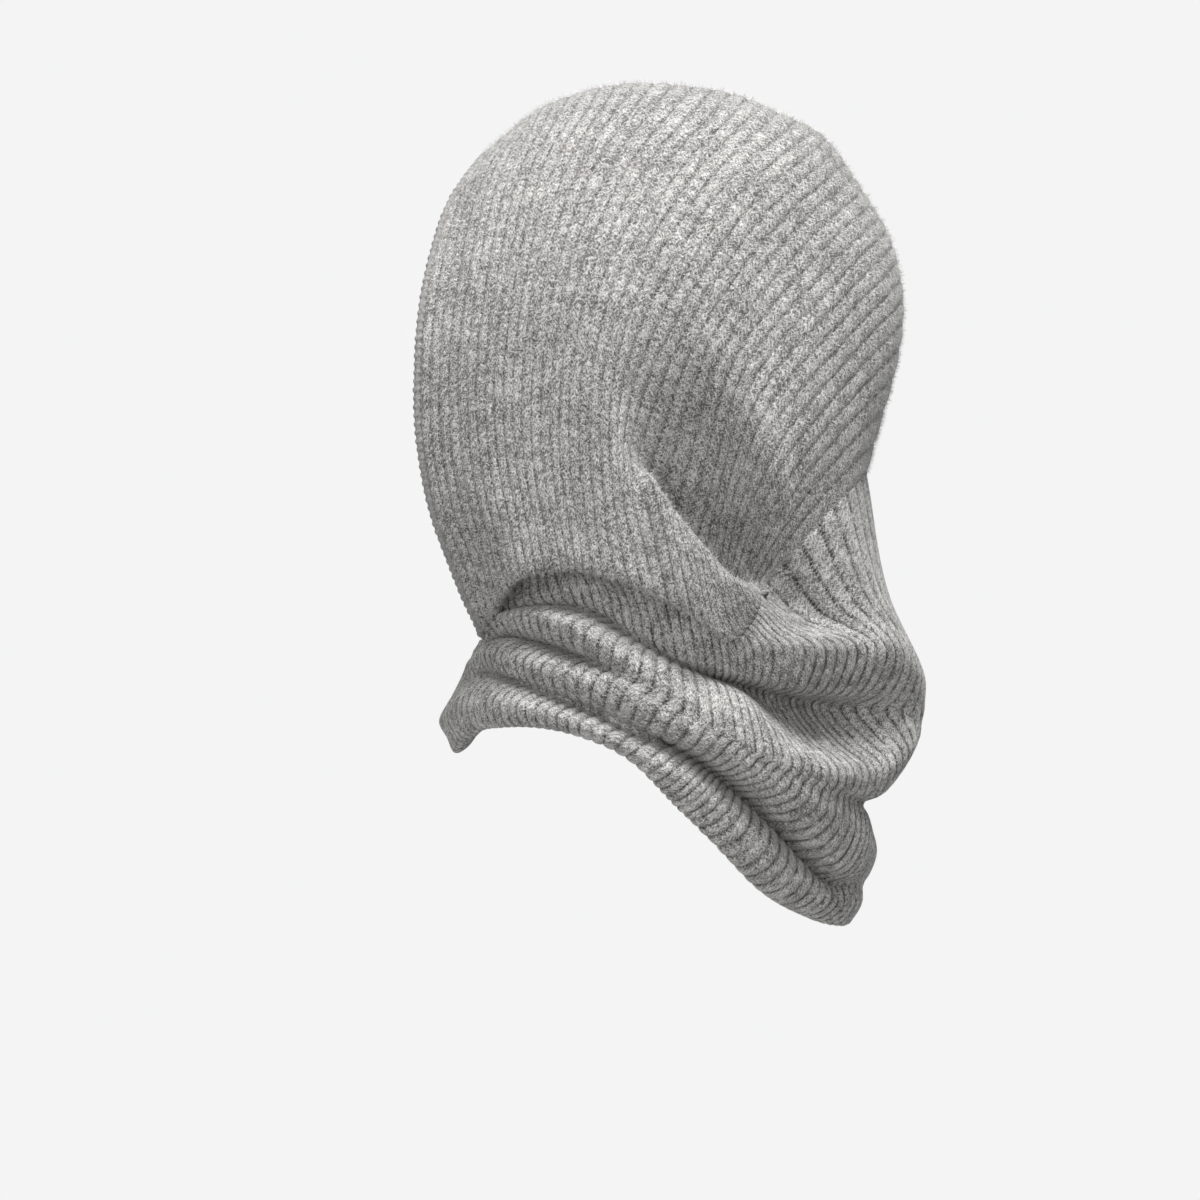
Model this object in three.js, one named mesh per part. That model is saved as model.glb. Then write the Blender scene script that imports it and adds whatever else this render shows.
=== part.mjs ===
// Knit hood: a ribbed wool hood with a wide neck that lies in rolls, in the form it has when worn.
// Millimetres. +Z is up, the face opening looks along -Y, the wearer's left side is +X.
// The origin is where the crown rests on the head.
import * as THREE from "three";

// ---- named sizes

const WALL = 4.0; // thickness of the brushed rib knit
const RELIEF = 1.2; // height of a rib over the groove beside it
const RIBS = { chin: 3, side: 18, back: 6 }; // modelled ribs in half of the neck, each stands for about two
const GAP = 0.8; // between two pieces that meet
const EDGE_GAP = 1.1; // between the cloth and the band round the face
const AXIS_BACK = 9; // where the middle of the neck is
const EDGE = { width: 3.8, depth: 4.6, along: 56, sides: 6 }; // band knitted on round the face
const SEAM = { thick: 2.4, along: 28, sides: 6, sink: 1.1 }; // cord of linked stitches over the back of the neck
const HEM = { turnUp: 20, inward: 11 }; // how far the last roll is turned up inside
const SIDE_ROWS = 28; // rows of the head panel, from one side of the neck to the other

// ---- tables

// One line per knitted rib of the head panel, counted from the face to the back seam. Each place is
// [back, up, out] on the outside of the knit, on the wearer's left. The right side mirrors it.
const RIB_LINES = [
  { rib: 0, neck: [-77, -245.5, 34], jaw: [-84.5, -233, 44], cheek: [-100.5, -188, 64], ear: [-106.5, -138.5, 71], temple: [-103.5, -93.5, 67], brow: [-93.5, -52, 46], crown: [-78, -26, 0] },
  { rib: 7, neck: [-61, -217, 60], jaw: [-65, -210.5, 73], cheek: [-75, -179, 80], ear: [-77.5, -132, 83], temple: [-72.5, -84.5, 80], brow: [-63, -39.5, 60], crown: [-47, -4, 0] },
  { rib: 12.5, neck: [-43.5, -214, 65], jaw: [-46, -209, 79], cheek: [-54, -179, 86], ear: [-56, -136.5, 88], temple: [-49, -87, 86], brow: [-32.5, -36, 62], crown: [-7, 4, 0] },
  { rib: 17.5, neck: [-25.5, -216.5, 69], jaw: [-26.5, -209.5, 84], cheek: [-33, -179, 90], ear: [-33.5, -138.5, 92.5], temple: [-23.5, -89, 89], brow: [3.5, -39.5, 62], crown: [36, -2, 0] },
  { rib: 20, neck: [-11, -223, 72], jaw: [-14.5, -216.5, 87.5], cheek: [-21.5, -181.5, 94], ear: [-21.5, -143, 95], temple: [-11, -96, 90], brow: [20, -44, 64], crown: [53, -9, 0] },
  { rib: 22, neck: [4, -231.5, 76], jaw: [-2, -224.5, 90], cheek: [-10.5, -184.5, 96.5], ear: [-10, -149.5, 91], temple: [1, -102.5, 89], brow: [35, -48.5, 66], crown: [70, -17, 0] },
  { rib: 24.2, neck: [15, -235, 82], jaw: [11, -229, 92.5], cheek: [0.5, -189, 95], ear: [-2, -157.5, 79], temple: [12.5, -109.5, 86.5], brow: [47.5, -59, 65], crown: [80.5, -27.5, 0] },
  { rib: 26, neck: [24, -234.5, 88], jaw: [20.5, -225, 94], cheek: [9, -194.5, 90], ear: [3.5, -166.5, 72], temple: [21.5, -115, 85], brow: [58, -66.5, 62], crown: [87.5, -38, 0] },
  { rib: 28.2, neck: [31.5, -231.5, 90], jaw: [28.5, -219.5, 92], cheek: [14, -196.5, 78], ear: [10, -173.5, 70], temple: [33.5, -123, 83], brow: [71, -76.5, 58], crown: [96, -51.5, 0] },
  { rib: 31.5, neck: [37, -229, 89.5], jaw: [32.5, -218.5, 88], cheek: [21, -204, 74.5], ear: [16.5, -189, 70.5], temple: [44, -143.5, 81], brow: [82.5, -98, 55], crown: [106, -73, 0] },
  { rib: 35.5, neck: [41, -227, 86], jaw: [36.5, -220, 83], cheek: [29, -211, 76], ear: [24, -204, 71], temple: [52, -173.5, 78], brow: [85.5, -134, 52], crown: [109, -109.5, 0] },
  { rib: 40, neck: [44.5, -224.5, 80], jaw: [45.5, -221.5, 78], cheek: [48, -217.5, 76], ear: [52, -213.5, 74], temple: [61.5, -204, 69], brow: [79, -185, 44], crown: [92.5, -172, 0] },
];
const PLACES = ["neck", "jaw", "cheek", "ear", "temple", "brow", "crown"];
// One more place between brow and crown rounds the head: shares of the brow's outness and of the fall to it.
const ROUNDING = { out: 0.56, fall: 0.27 };

// Middle of the neck's top edge under the chin.
const CHIN = { back: -80.5, up: -247 };

// The rolls of the neck from the top down. Each has its height and its distance from the neck's axis
// at eight places round, from the chin (0 degrees) to the nape (180), and swing, by how many degrees
// the ribs have moved to the front there.
const AROUND = [0, 30, 60, 75, 90, 120, 150, 180];
const FOLDS = [
  { fold: "top roll", swing: [0, 0, -1, -1, -6, -1, 0, 0], up: [-249, -232, -221, -230, -244.5, -253.5, -255.5, -265.5], out: [90.5, 88, 81.5, 80.5, 83, 103.5, 106, 110.5] },
  { fold: "groove", swing: [0, -2, -8, -7, -13, -3, -1, 0], up: [-250.5, -233.5, -233, -244, -258, -275.5, -282.5, -281], out: [91.5, 89, 79, 80, 80, 83, 88, 109.5] },
  { fold: "wide roll", swing: [0, 1, -2, -5, -7, -2, -1, 0], up: [-252.5, -235.5, -239, -253.5, -269, -295, -302, -290], out: [92.5, 94, 99, 97.5, 97, 101, 102, 107.5] },
  { fold: "groove", swing: [0, 1, 1, -2, -5, 0, 0, 0], up: [-255.5, -245.5, -254.5, -263, -277, -304, -318, -320], out: [94, 88, 85, 96, 96.5, 99.5, 91, 79.5] },
  { fold: "low roll", swing: [0, 2, 4, 1, -2, 3, 1, 0], up: [-259, -252, -262.5, -272, -284.5, -312.5, -333.5, -341], out: [96, 98.5, 99, 97.5, 97, 97, 92.5, 88] },
  { fold: "groove", swing: [0, 3, 7, 7, 1, 8, 3, 0], up: [-264.5, -263, -276.5, -286, -295, -321, -350, -356.5], out: [98.5, 91, 85, 82, 81, 79, 79, 82] },
  { fold: "last roll", swing: [0, 4, 8, 9, 7, 15, 9, 0], up: [-283.5, -273.5, -281, -292.5, -307, -340.5, -362, -364.5], out: [108, 105, 101, 98, 95, 87, 82, 82] },
  { fold: "turned hem", swing: [0, 5, 9, 11, 12, 23, 16, 0], up: [-297, -285.5, -288.5, -299, -322, -357.5, -371, -375], out: [101, 98, 92, 90, 87, 73, 70, 75] },
];
// Where the cloth is between a crest and a groove: share of the reach kept, share of the drop done.
const SHOULDER = { reach: 0.66, drop: 0.77 };
const LEAST_DROP = 1.6; // from one row of the neck to the next, where the folds run out under the chin

// ---- small mathematics

const DEG = Math.PI / 180;
const clamp = (x, low, high) => Math.min(high, Math.max(low, x));
const smooth = (x) => {
  const t = clamp(x, 0, 1);
  return t * t * (3 - 2 * t);
};
const mix = (a, b, t) => a + (b - a) * t;
const vec = (x, y, z) => new THREE.Vector3(x, y, z);

/** Smooth curve through rows of numbers at rising knots, read at x. */
function through(knots, rows, x) {
  const last = knots.length - 1;
  let i = 0;
  while (i < last - 1 && x > knots[i + 1]) i++;
  const span = (k) => knots[k + 1] - knots[k];
  const step = (k, c) => (rows[k + 1][c] - rows[k][c]) / span(k);
  const slope = (k, c) => {
    if (k === 0) return step(0, c);
    if (k === last) return step(last - 1, c);
    return (step(k - 1, c) * span(k) + step(k, c) * span(k - 1)) / (span(k) + span(k - 1));
  };
  const h = span(i);
  const f = (x - knots[i]) / h;
  const f2 = f * f;
  const f3 = f2 * f;
  return rows[i].map((value, c) =>
    (2 * f3 - 3 * f2 + 1) * value + (f3 - 2 * f2 + f) * h * slope(i, c) +
    (3 * f2 - 2 * f3) * rows[i + 1][c] + (f3 - f2) * h * slope(i + 1, c));
}

// ---- the head panel as a surface

const LAST_RIB = RIB_LINES[RIB_LINES.length - 1].rib;
const CROWN = PLACES.length; // station of the crown, counted from the neck
const ribLineCache = new Map();

/** Points of one rib line from the left of the neck over the crown to the right of it. */
function ribLine(rib) {
  if (!ribLineCache.has(rib)) {
    const knots = RIB_LINES.map((line) => line.rib);
    const half = PLACES.map((place) => through(knots, RIB_LINES.map((line) => line[place]), rib));
    const [brow, crown] = half.slice(-2);
    const fall = (c) => mix(crown[c], brow[c], ROUNDING.fall);
    half.splice(-1, 0, [fall(0), fall(1), brow[2] * ROUNDING.out]);
    const far = half.slice(0, CROWN).reverse().map(([back, up, out]) => [back, up, -out]);
    ribLineCache.set(rib, [...half, ...far]);
  }
  return ribLineCache.get(rib);
}

const STATIONS = Array.from({ length: 2 * CROWN + 1 }, (_, i) => i);

/** Outside of the head panel, without ribs. along runs from the left of the neck to the right. */
function panelPoint(rib, along) {
  const [back, up, out] = through(STATIONS, ribLine(rib), along);
  return vec(out, back, up);
}

/** Outward direction of a surface given by a function of two numbers inside limits. */
function outward(surface, a, b, limits, flip) {
  const [a0, a1, b0, b1] = limits;
  const da = 0.02 * (a1 - a0) / 10;
  const db = 0.02 * (b1 - b0) / 10;
  const alongA = surface(clamp(a + da, a0, a1), b).sub(surface(clamp(a - da, a0, a1), b));
  const alongB = surface(a, clamp(b + db, b0, b1)).sub(surface(a, clamp(b - db, b0, b1)));
  return alongA.cross(alongB).multiplyScalar(flip).normalize();
}

const panelOut = (rib, along) => outward(panelPoint, rib, along, [0, LAST_RIB, 0, 2 * CROWN], 1);

// ---- the neck as a surface

const HALF = RIBS.chin + RIBS.side + RIBS.back; // modelled ribs in half of the neck
const COLUMNS = 4 * HALF; // two columns to a rib, all the way round
const SIDE_FROM = 2 * RIBS.chin; // first column that runs on into the head panel
const SIDE_TO = SIDE_FROM + 2 * RIBS.side; // last one
const NAPE = 2 * HALF; // column at the middle of the back

const ribOfColumn = (column) => ((column - SIDE_FROM) / (SIDE_TO - SIDE_FROM)) * LAST_RIB;

const seamLine = (() => {
  const steps = 120;
  const points = [];
  for (let i = 0; i <= steps; i++) points.push(panelPoint(LAST_RIB, (i / steps) * 2 * CROWN));
  const lengths = [0];
  for (let i = 1; i <= steps; i++) lengths.push(lengths[i - 1] + points[i].distanceTo(points[i - 1]));
  return { points, lengths, steps };
})();

/** Place along the back seam, as the panel's own along value, at a share of the seam's length. */
function seamAlong(share) {
  const target = share * seamLine.lengths[seamLine.steps];
  let i = 0;
  while (i < seamLine.steps - 1 && seamLine.lengths[i + 1] < target) i++;
  const part = (target - seamLine.lengths[i]) / (seamLine.lengths[i + 1] - seamLine.lengths[i]);
  return ((i + part) / seamLine.steps) * 2 * CROWN;
}

/** Top edge of the neck at a column of the left half. */
function neckTop(column) {
  if (column >= SIDE_TO) {
    const share = (column - SIDE_TO) / (NAPE - SIDE_TO) / 2;
    return panelPoint(LAST_RIB, seamAlong(share));
  }
  if (column >= SIDE_FROM) return panelPoint(ribOfColumn(column), 0);
  const [back, up, out] = RIB_LINES[0].neck;
  const share = column / SIDE_FROM;
  const angle = share * Math.PI / 2;
  return vec(out * Math.sin(angle) * 0.55 + out * share * 0.45, mix(CHIN.back, back, share * share), mix(CHIN.up, up, share * share));
}

const ringKnots = [-AROUND[1], ...AROUND, 360 - AROUND[AROUND.length - 2]];
const mirrored = (row) => [row[1], ...row, row[row.length - 2]];
const FOLD_RINGS = FOLDS.map(({ up, out, swing }) => {
  const rows = mirrored(up).map((value, i) => [value, mirrored(out)[i]]);
  const turns = [-swing[1], ...swing, -swing[swing.length - 2]].map((value) => [value]);
  return { turns, rows };
});

/** Cloth line of one column of the left half as rows of [degrees round, distance out, height]. */
function columnLine(column) {
  const top = neckTop(column);
  const even = (column / NAPE) * 180;
  const main = [[Math.atan2(Math.abs(top.x), AXIS_BACK - top.y) / DEG, Math.hypot(top.x, top.y - AXIS_BACK), top.z]];
  for (const { turns, rows } of FOLD_RINGS) {
    const angle = even - through(ringKnots, turns, even)[0];
    const [up, out] = through(ringKnots, rows, angle);
    main.push([angle, out, up]);
  }
  for (let i = 1; i < 5; i++) main[i][2] = Math.min(main[i][2], main[i - 1][2] - LEAST_DROP);
  const hem = main[main.length - 1];
  main.push([hem[0], hem[1] - HEM.inward, hem[2] + HEM.turnUp]);
  const front = 1 - smooth(even / 30);
  const side = smooth((even - 100) / 30);
  const back = smooth((even - 147) / 33);
  const line = [];
  for (let i = 0; i < main.length - 1; i++) {
    line.push(main[i]);
    if (i === main.length - 2) {
      line.push([hem[0], hem[1] - HEM.inward * 0.62, hem[2] + HEM.turnUp * 0.2]);
      continue;
    }
    const crestFirst = i % 2 === 1;
    const [crest, groove] = crestFirst ? [main[i], main[i + 1]] : [main[i + 1], main[i]];
    const first = i === 0;
    const reach = mix(SHOULDER.reach, 0.5, front) + (first ? 0.09 * side - 0.36 * back : -0.16 * back);
    const drop = mix(SHOULDER.drop, 0.5, front) - (first ? 0.27 * side + 0.08 * back : 0.12 * back);
    line.push([
      mix(crest[0], groove[0], 0.5),
      groove[1] + (crest[1] - groove[1]) * reach,
      crest[2] + (groove[2] - crest[2]) * drop,
    ]);
  }
  line.push(main[main.length - 1]);
  return line;
}

const columnCache = new Map();
/** Outside of the neck without ribs. down runs from 0 at the top edge to NECK_END inside the hem. */
function neckPoint(column, down) {
  const wrapped = ((column % COLUMNS) + COLUMNS) % COLUMNS;
  const left = wrapped <= NAPE ? wrapped : COLUMNS - wrapped;
  const key = Math.round(left * 1e6);
  if (!columnCache.has(key)) columnCache.set(key, columnLine(left));
  const line = columnCache.get(key);
  const [angle, out, up] = through(line.map((_, i) => i), line, down);
  const side = wrapped <= NAPE ? 1 : -1;
  return vec(side * out * Math.sin(angle * DEG), AXIS_BACK - out * Math.cos(angle * DEG), up);
}

const NECK_END = 2 * (FOLDS.length + 1);
const neckOut = (column, down) => outward(neckPoint, column, down, [-COLUMNS, 2 * COLUMNS, 0, NECK_END], -1);

// ---- the line where the two pieces meet

/** Share of the seam's length at a place along it. */
function seamShare(along) {
  const at = (along / (2 * CROWN)) * seamLine.steps;
  const i = clamp(Math.floor(at), 0, seamLine.steps - 1);
  return mix(seamLine.lengths[i], seamLine.lengths[i + 1], at - i) / seamLine.lengths[seamLine.steps];
}

/** Place of the head panel's edge that a neck column meets, as [rib, along], or null under the chin. */
function panelPlace(column) {
  const right = column > NAPE;
  const left = right ? COLUMNS - column : column;
  if (left < SIDE_FROM) return null;
  if (left >= SIDE_TO) {
    const share = (left - SIDE_TO) / (NAPE - SIDE_TO) / 2;
    return [LAST_RIB, seamAlong(right ? 1 - share : share)];
  }
  return [ribOfColumn(left), right ? 2 * CROWN : 0];
}

const wrap = (column) => ((column % COLUMNS) + COLUMNS) % COLUMNS;

/** Room that each piece leaves at the meeting line: half a gap, and the cord's over the nape. */
function roomAt(column) {
  const wrapped = wrap(column);
  const left = Math.min(wrapped, COLUMNS - wrapped);
  const share = (left - SIDE_TO) / (NAPE - SIDE_TO);
  return GAP / 2 + (SEAM.thick / 2 + GAP / 2) * smooth((share + 0.14) / 0.2);
}

/** The meeting line at a column: its point, the way out through the wall, and the way up into the head panel. */
function meet(column) {
  const wrapped = wrap(column);
  const point = neckPoint(wrapped, 0);
  const out = neckOut(wrapped, 0.35);
  const place = panelPlace(wrapped);
  if (place) out.add(panelOut(place[0], clamp(place[1], 0.12, 2 * CROWN - 0.12))).normalize();
  const tangent = neckPoint(wrapped + 0.4, 0).sub(neckPoint(wrapped - 0.4, 0)).normalize();
  const up = tangent.clone().cross(out).normalize().multiplyScalar(-1);
  return { point, out, up };
}

const rib = (column) => (column % 2 ? 0.5 : -0.5) * RELIEF;

// ---- closed cloth from an outer and an inner sheet

/** Body between two sheets of points. The outer one has twice the columns of the inner one. */
class Cloth {
  constructor() {
    this.triangles = [];
  }

  face(a, b, c) {
    if (a.distanceTo(b) < 0.004 || b.distanceTo(c) < 0.004 || c.distanceTo(a) < 0.004) return;
    this.triangles.push(a, b, c);
  }

  quad(a, b, c, d) {
    if (a.distanceTo(c) <= b.distanceTo(d)) {
      this.face(a, b, c);
      this.face(a, c, d);
    } else {
      this.face(a, b, d);
      this.face(b, c, d);
    }
  }

  sheet(grid, closed, flip) {
    const columns = closed ? grid.length : grid.length - 1;
    for (let i = 0; i < columns; i++) {
      const here = grid[i];
      const next = grid[(i + 1) % grid.length];
      for (let j = 0; j < here.length - 1; j++) {
        if (flip) this.quad(here[j], here[j + 1], next[j + 1], next[j]);
        else this.quad(here[j], next[j], next[j + 1], here[j + 1]);
      }
    }
  }

  /** Strip from an outer edge to an inner edge with the same number of points or half as many. */
  rim(outer, inner, flip) {
    const put = (a, b, c) => (flip ? this.face(a, c, b) : this.face(a, b, c));
    const double = outer.length > inner.length;
    for (let i = 0; i < inner.length - 1; i++) {
      const [a, b] = [inner[i], inner[i + 1]];
      if (double) {
        const [p, q, r] = outer.slice(2 * i, 2 * i + 3);
        put(p, a, q);
        put(q, a, b);
        put(q, b, r);
      } else {
        put(outer[i], a, outer[i + 1]);
        put(outer[i + 1], a, b);
      }
    }
  }

  geometry() {
    const geometry = new THREE.BufferGeometry();
    const numbers = this.triangles.flatMap((point) => [point.x, point.y, point.z]);
    geometry.setAttribute("position", new THREE.Float32BufferAttribute(numbers, 3));
    geometry.computeVertexNormals();
    return geometry;
  }
}

const wool = (colour) => new THREE.MeshStandardMaterial({ color: colour, roughness: 0.95, metalness: 0 });

function mesh(name, cloth, colour) {
  const piece = new THREE.Mesh(cloth.geometry(), wool(colour));
  piece.name = name;
  return piece;
}

// ---- the head panel

function makeHood() {
  const outer = [];
  const inner = [];
  const columns = 2 * RIBS.side;
  for (let i = 0; i <= columns; i++) {
    const line = (i / columns) * LAST_RIB;
    const outerLine = [];
    const innerLine = [];
    for (let j = 0; j <= SIDE_ROWS; j++) {
      const along = (j / SIDE_ROWS) * 2 * CROWN;
      const end = j === 0 || j === SIDE_ROWS;
      let point = panelPoint(line, along);
      let out = panelOut(line, along);
      if (end || i === columns) {
        const column = end
          ? (j === 0 ? SIDE_FROM + i : COLUMNS - SIDE_FROM - i)
          : SIDE_TO + seamShare(along) * 2 * (NAPE - SIDE_TO);
        const line = meet(column);
        point = line.point.addScaledVector(line.up, roomAt(column));
        out = line.out;
      }
      outerLine.push(point.clone().addScaledVector(out, rib(i)));
      innerLine.push(point.clone().addScaledVector(out, -WALL));
    }
    outer.push(outerLine);
    if (i % 2 === 0) inner.push(innerLine);
  }
  const cloth = new Cloth();
  cloth.sheet(outer, false, false);
  cloth.sheet(inner, false, true);
  cloth.rim(outer.map((line) => line[0]), inner.map((line) => line[0]), false);
  cloth.rim(outer.map((line) => line[SIDE_ROWS]), inner.map((line) => line[SIDE_ROWS]), true);
  cloth.rim(outer[0], inner[0], true);
  cloth.rim(outer[columns], inner[inner.length - 1], false);
  return mesh("hood", cloth, 0xa9a7a5);
}

// ---- the neck

function makeNeck() {
  const downs = [];
  for (let s = 0; s <= NECK_END; s++) {
    downs.push(s);
    if (s >= NECK_END - 5 && s < NECK_END - 1) downs.push(s + 0.5);
  }
  const outer = [];
  const inner = [];
  for (let column = 0; column < COLUMNS; column++) {
    const outerLine = [];
    const innerLine = [];
    downs.forEach((down) => {
      let point = neckPoint(column, down);
      let out = neckOut(column, down);
      if (down === 0) {
        const line = meet(column);
        point = line.point.addScaledVector(line.up, -roomAt(column));
        out = line.out;
      }
      outerLine.push(point.clone().addScaledVector(out, rib(column)));
      innerLine.push(point.clone().addScaledVector(out, -WALL));
    });
    outer.push(outerLine);
    if (column % 2 === 0) inner.push(innerLine);
  }
  const cloth = new Cloth();
  cloth.sheet(outer, true, true);
  cloth.sheet(inner, true, false);
  const last = downs.length - 1;
  const ring = (grid, j) => [...grid.map((line) => line[j]), grid[0][j]];
  cloth.rim(ring(outer, 0), ring(inner, 0), true);
  cloth.rim(ring(outer, last), ring(inner, last), false);
  return mesh("neck_cowl", cloth, 0xa3a19f);
}

// ---- the band round the face and the seam over the nape

/** Round bar with an oval section along a line of { middle, wide, deep } frames. */
function bar(frames, sides, width, depth, closed) {
  const grid = frames.map(({ middle, wide, deep }, k) => {
    const swell = 1 + (k % 2 ? 0.06 : -0.02);
    return Array.from({ length: sides }, (_, i) => {
      const angle = (i / sides) * 2 * Math.PI;
      return middle.clone()
        .addScaledVector(wide, Math.cos(angle) * width / 2 * swell)
        .addScaledVector(deep, Math.sin(angle) * depth / 2 * swell);
    });
  });
  const cloth = new Cloth();
  const spans = closed ? grid.length : grid.length - 1;
  for (let k = 0; k < spans; k++) {
    const here = grid[k];
    const next = grid[(k + 1) % grid.length];
    for (let i = 0; i < sides; i++) {
      const j = (i + 1) % sides;
      cloth.quad(here[i], here[j], next[j], next[i]);
    }
  }
  if (!closed) {
    const ends = [[grid[0], true], [grid[grid.length - 1], false]];
    for (const [loop, flip] of ends) {
      for (let i = 1; i < sides - 1; i++) {
        if (flip) cloth.face(loop[0], loop[i + 1], loop[i]);
        else cloth.face(loop[0], loop[i], loop[i + 1]);
      }
    }
  }
  return cloth;
}

/** Edge of the face opening as points on the outside with the way out of the cloth. */
function faceEdge() {
  const raw = [];
  const steps = 72;
  for (let i = 1; i < steps; i++) {
    const along = (i / steps) * 2 * CROWN;
    raw.push({ point: panelPoint(0, along), out: panelOut(0, along) });
  }
  for (let column = -SIDE_FROM; column <= SIDE_FROM; column++) {
    const { point, out } = meet(column);
    raw.push({ point, out });
  }
  return raw;
}

/** The same closed line with points at even distances. */
function evenLoop(raw, count) {
  const n = raw.length;
  const lengths = [0];
  for (let i = 1; i <= n; i++) lengths.push(lengths[i - 1] + raw[i % n].point.distanceTo(raw[i - 1].point));
  const loop = [];
  let i = 0;
  for (let k = 0; k < count; k++) {
    const target = ((k + 0.5) / count) * lengths[n];
    while (lengths[i + 1] < target) i++;
    const t = (target - lengths[i]) / (lengths[i + 1] - lengths[i]);
    const [a, b] = [raw[i % n], raw[(i + 1) % n]];
    loop.push({ point: a.point.clone().lerp(b.point, t), out: a.out.clone().lerp(b.out, t).normalize() });
  }
  return loop;
}

function makeFaceEdge() {
  const loop = evenLoop(faceEdge(), EDGE.along);
  const n = loop.length;
  const frames = loop.map(({ point, out }, k) => {
    const tangent = loop[(k + 1) % n].point.clone().sub(loop[(k + n - 1) % n].point).normalize();
    const wide = out.clone().cross(tangent).normalize();
    const deep = tangent.clone().cross(wide).normalize();
    const middle = point.clone()
      .addScaledVector(out, -WALL / 2 + 0.2)
      .addScaledVector(wide, EDGE.width / 2 * 1.06 + EDGE_GAP);
    return { middle, wide, deep };
  });
  return mesh("face_edge", bar(frames, EDGE.sides, EDGE.width, EDGE.depth, true), 0x969492);
}

function makeSeam() {
  const frames = [];
  const from = 0.06;
  for (let k = 0; k <= SEAM.along; k++) {
    const along = seamAlong(mix(from, 1 - from, k / SEAM.along));
    const before = panelPoint(LAST_RIB, along - 0.05);
    const after = panelPoint(LAST_RIB, along + 0.05);
    const tangent = after.sub(before).normalize();
    const share = (k / SEAM.along) * (1 - 2 * from) + from;
    const column = share <= 0.5
      ? SIDE_TO + share * 2 * (NAPE - SIDE_TO)
      : COLUMNS - SIDE_TO - (1 - share) * 2 * (NAPE - SIDE_TO);
    const { point, out } = meet(column);
    const wide = out.clone().cross(tangent).normalize();
    const deep = tangent.clone().cross(wide).normalize();
    frames.push({ middle: point.addScaledVector(out, -SEAM.sink), wide, deep });
  }
  return mesh("back_seam", bar(frames, SEAM.sides, SEAM.thick, SEAM.thick, false), 0x8f8d8b);
}

const hood = new THREE.Group();
hood.name = "knit_hood";
hood.add(makeHood(), makeNeck(), makeFaceEdge(), makeSeam());

export default hood;
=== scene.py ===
"""A ribbed wool hood with a wide rolled neck, in the form that it has when worn."""
import logging  # noqa: E402
import math  # noqa: E402
from dataclasses import astuple, dataclass, field  # noqa: E402
from enum import Enum  # noqa: E402
from functools import partial  # noqa: E402
from typing import Any, Sequence  # noqa: E402

import bpy  # noqa: E402
import numpy as np  # noqa: E402
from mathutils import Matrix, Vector  # noqa: E402


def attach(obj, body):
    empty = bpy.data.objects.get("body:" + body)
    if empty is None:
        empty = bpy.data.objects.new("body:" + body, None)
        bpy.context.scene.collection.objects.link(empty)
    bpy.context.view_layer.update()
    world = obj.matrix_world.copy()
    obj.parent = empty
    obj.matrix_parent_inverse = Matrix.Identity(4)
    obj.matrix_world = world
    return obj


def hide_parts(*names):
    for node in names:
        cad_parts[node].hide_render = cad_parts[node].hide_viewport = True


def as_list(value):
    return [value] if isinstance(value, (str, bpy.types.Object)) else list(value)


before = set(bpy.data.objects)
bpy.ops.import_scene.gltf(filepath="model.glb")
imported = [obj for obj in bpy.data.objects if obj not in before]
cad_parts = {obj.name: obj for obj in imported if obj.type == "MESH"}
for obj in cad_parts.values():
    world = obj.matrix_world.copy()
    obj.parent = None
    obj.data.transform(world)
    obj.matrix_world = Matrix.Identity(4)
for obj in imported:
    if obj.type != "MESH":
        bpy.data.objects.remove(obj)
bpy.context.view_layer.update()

log = logging.getLogger("hood")

MM = 0.001
Array = np.ndarray
Place = tuple[float, float, float]
MIRROR = np.array([-1.0, 1.0, 1.0])  # the wearer's left to their right
MATH = "ShaderNodeMath"
VECTOR = "ShaderNodeVectorMath"
EASE = "ShaderNodeMapRange"
NOISE = "ShaderNodeTexNoise"
READ = "GeometryNodeInputNamedAttribute"
RANDOM = "FunctionNodeRandomValue"
TURN = "FunctionNodeRotateRotation"


@dataclass(frozen=True)
class RibLine:
    """Where one rib of the head panel runs on the wearer's left.

    Each place is (back, up, out) on the outside of the knit. Ribs are counted from the face.
    """

    rib: float
    neck: Place
    lip: Place
    jaw: Place
    cheek: Place
    ear: Place
    temple: Place
    brow: Place
    crown: Place


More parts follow.
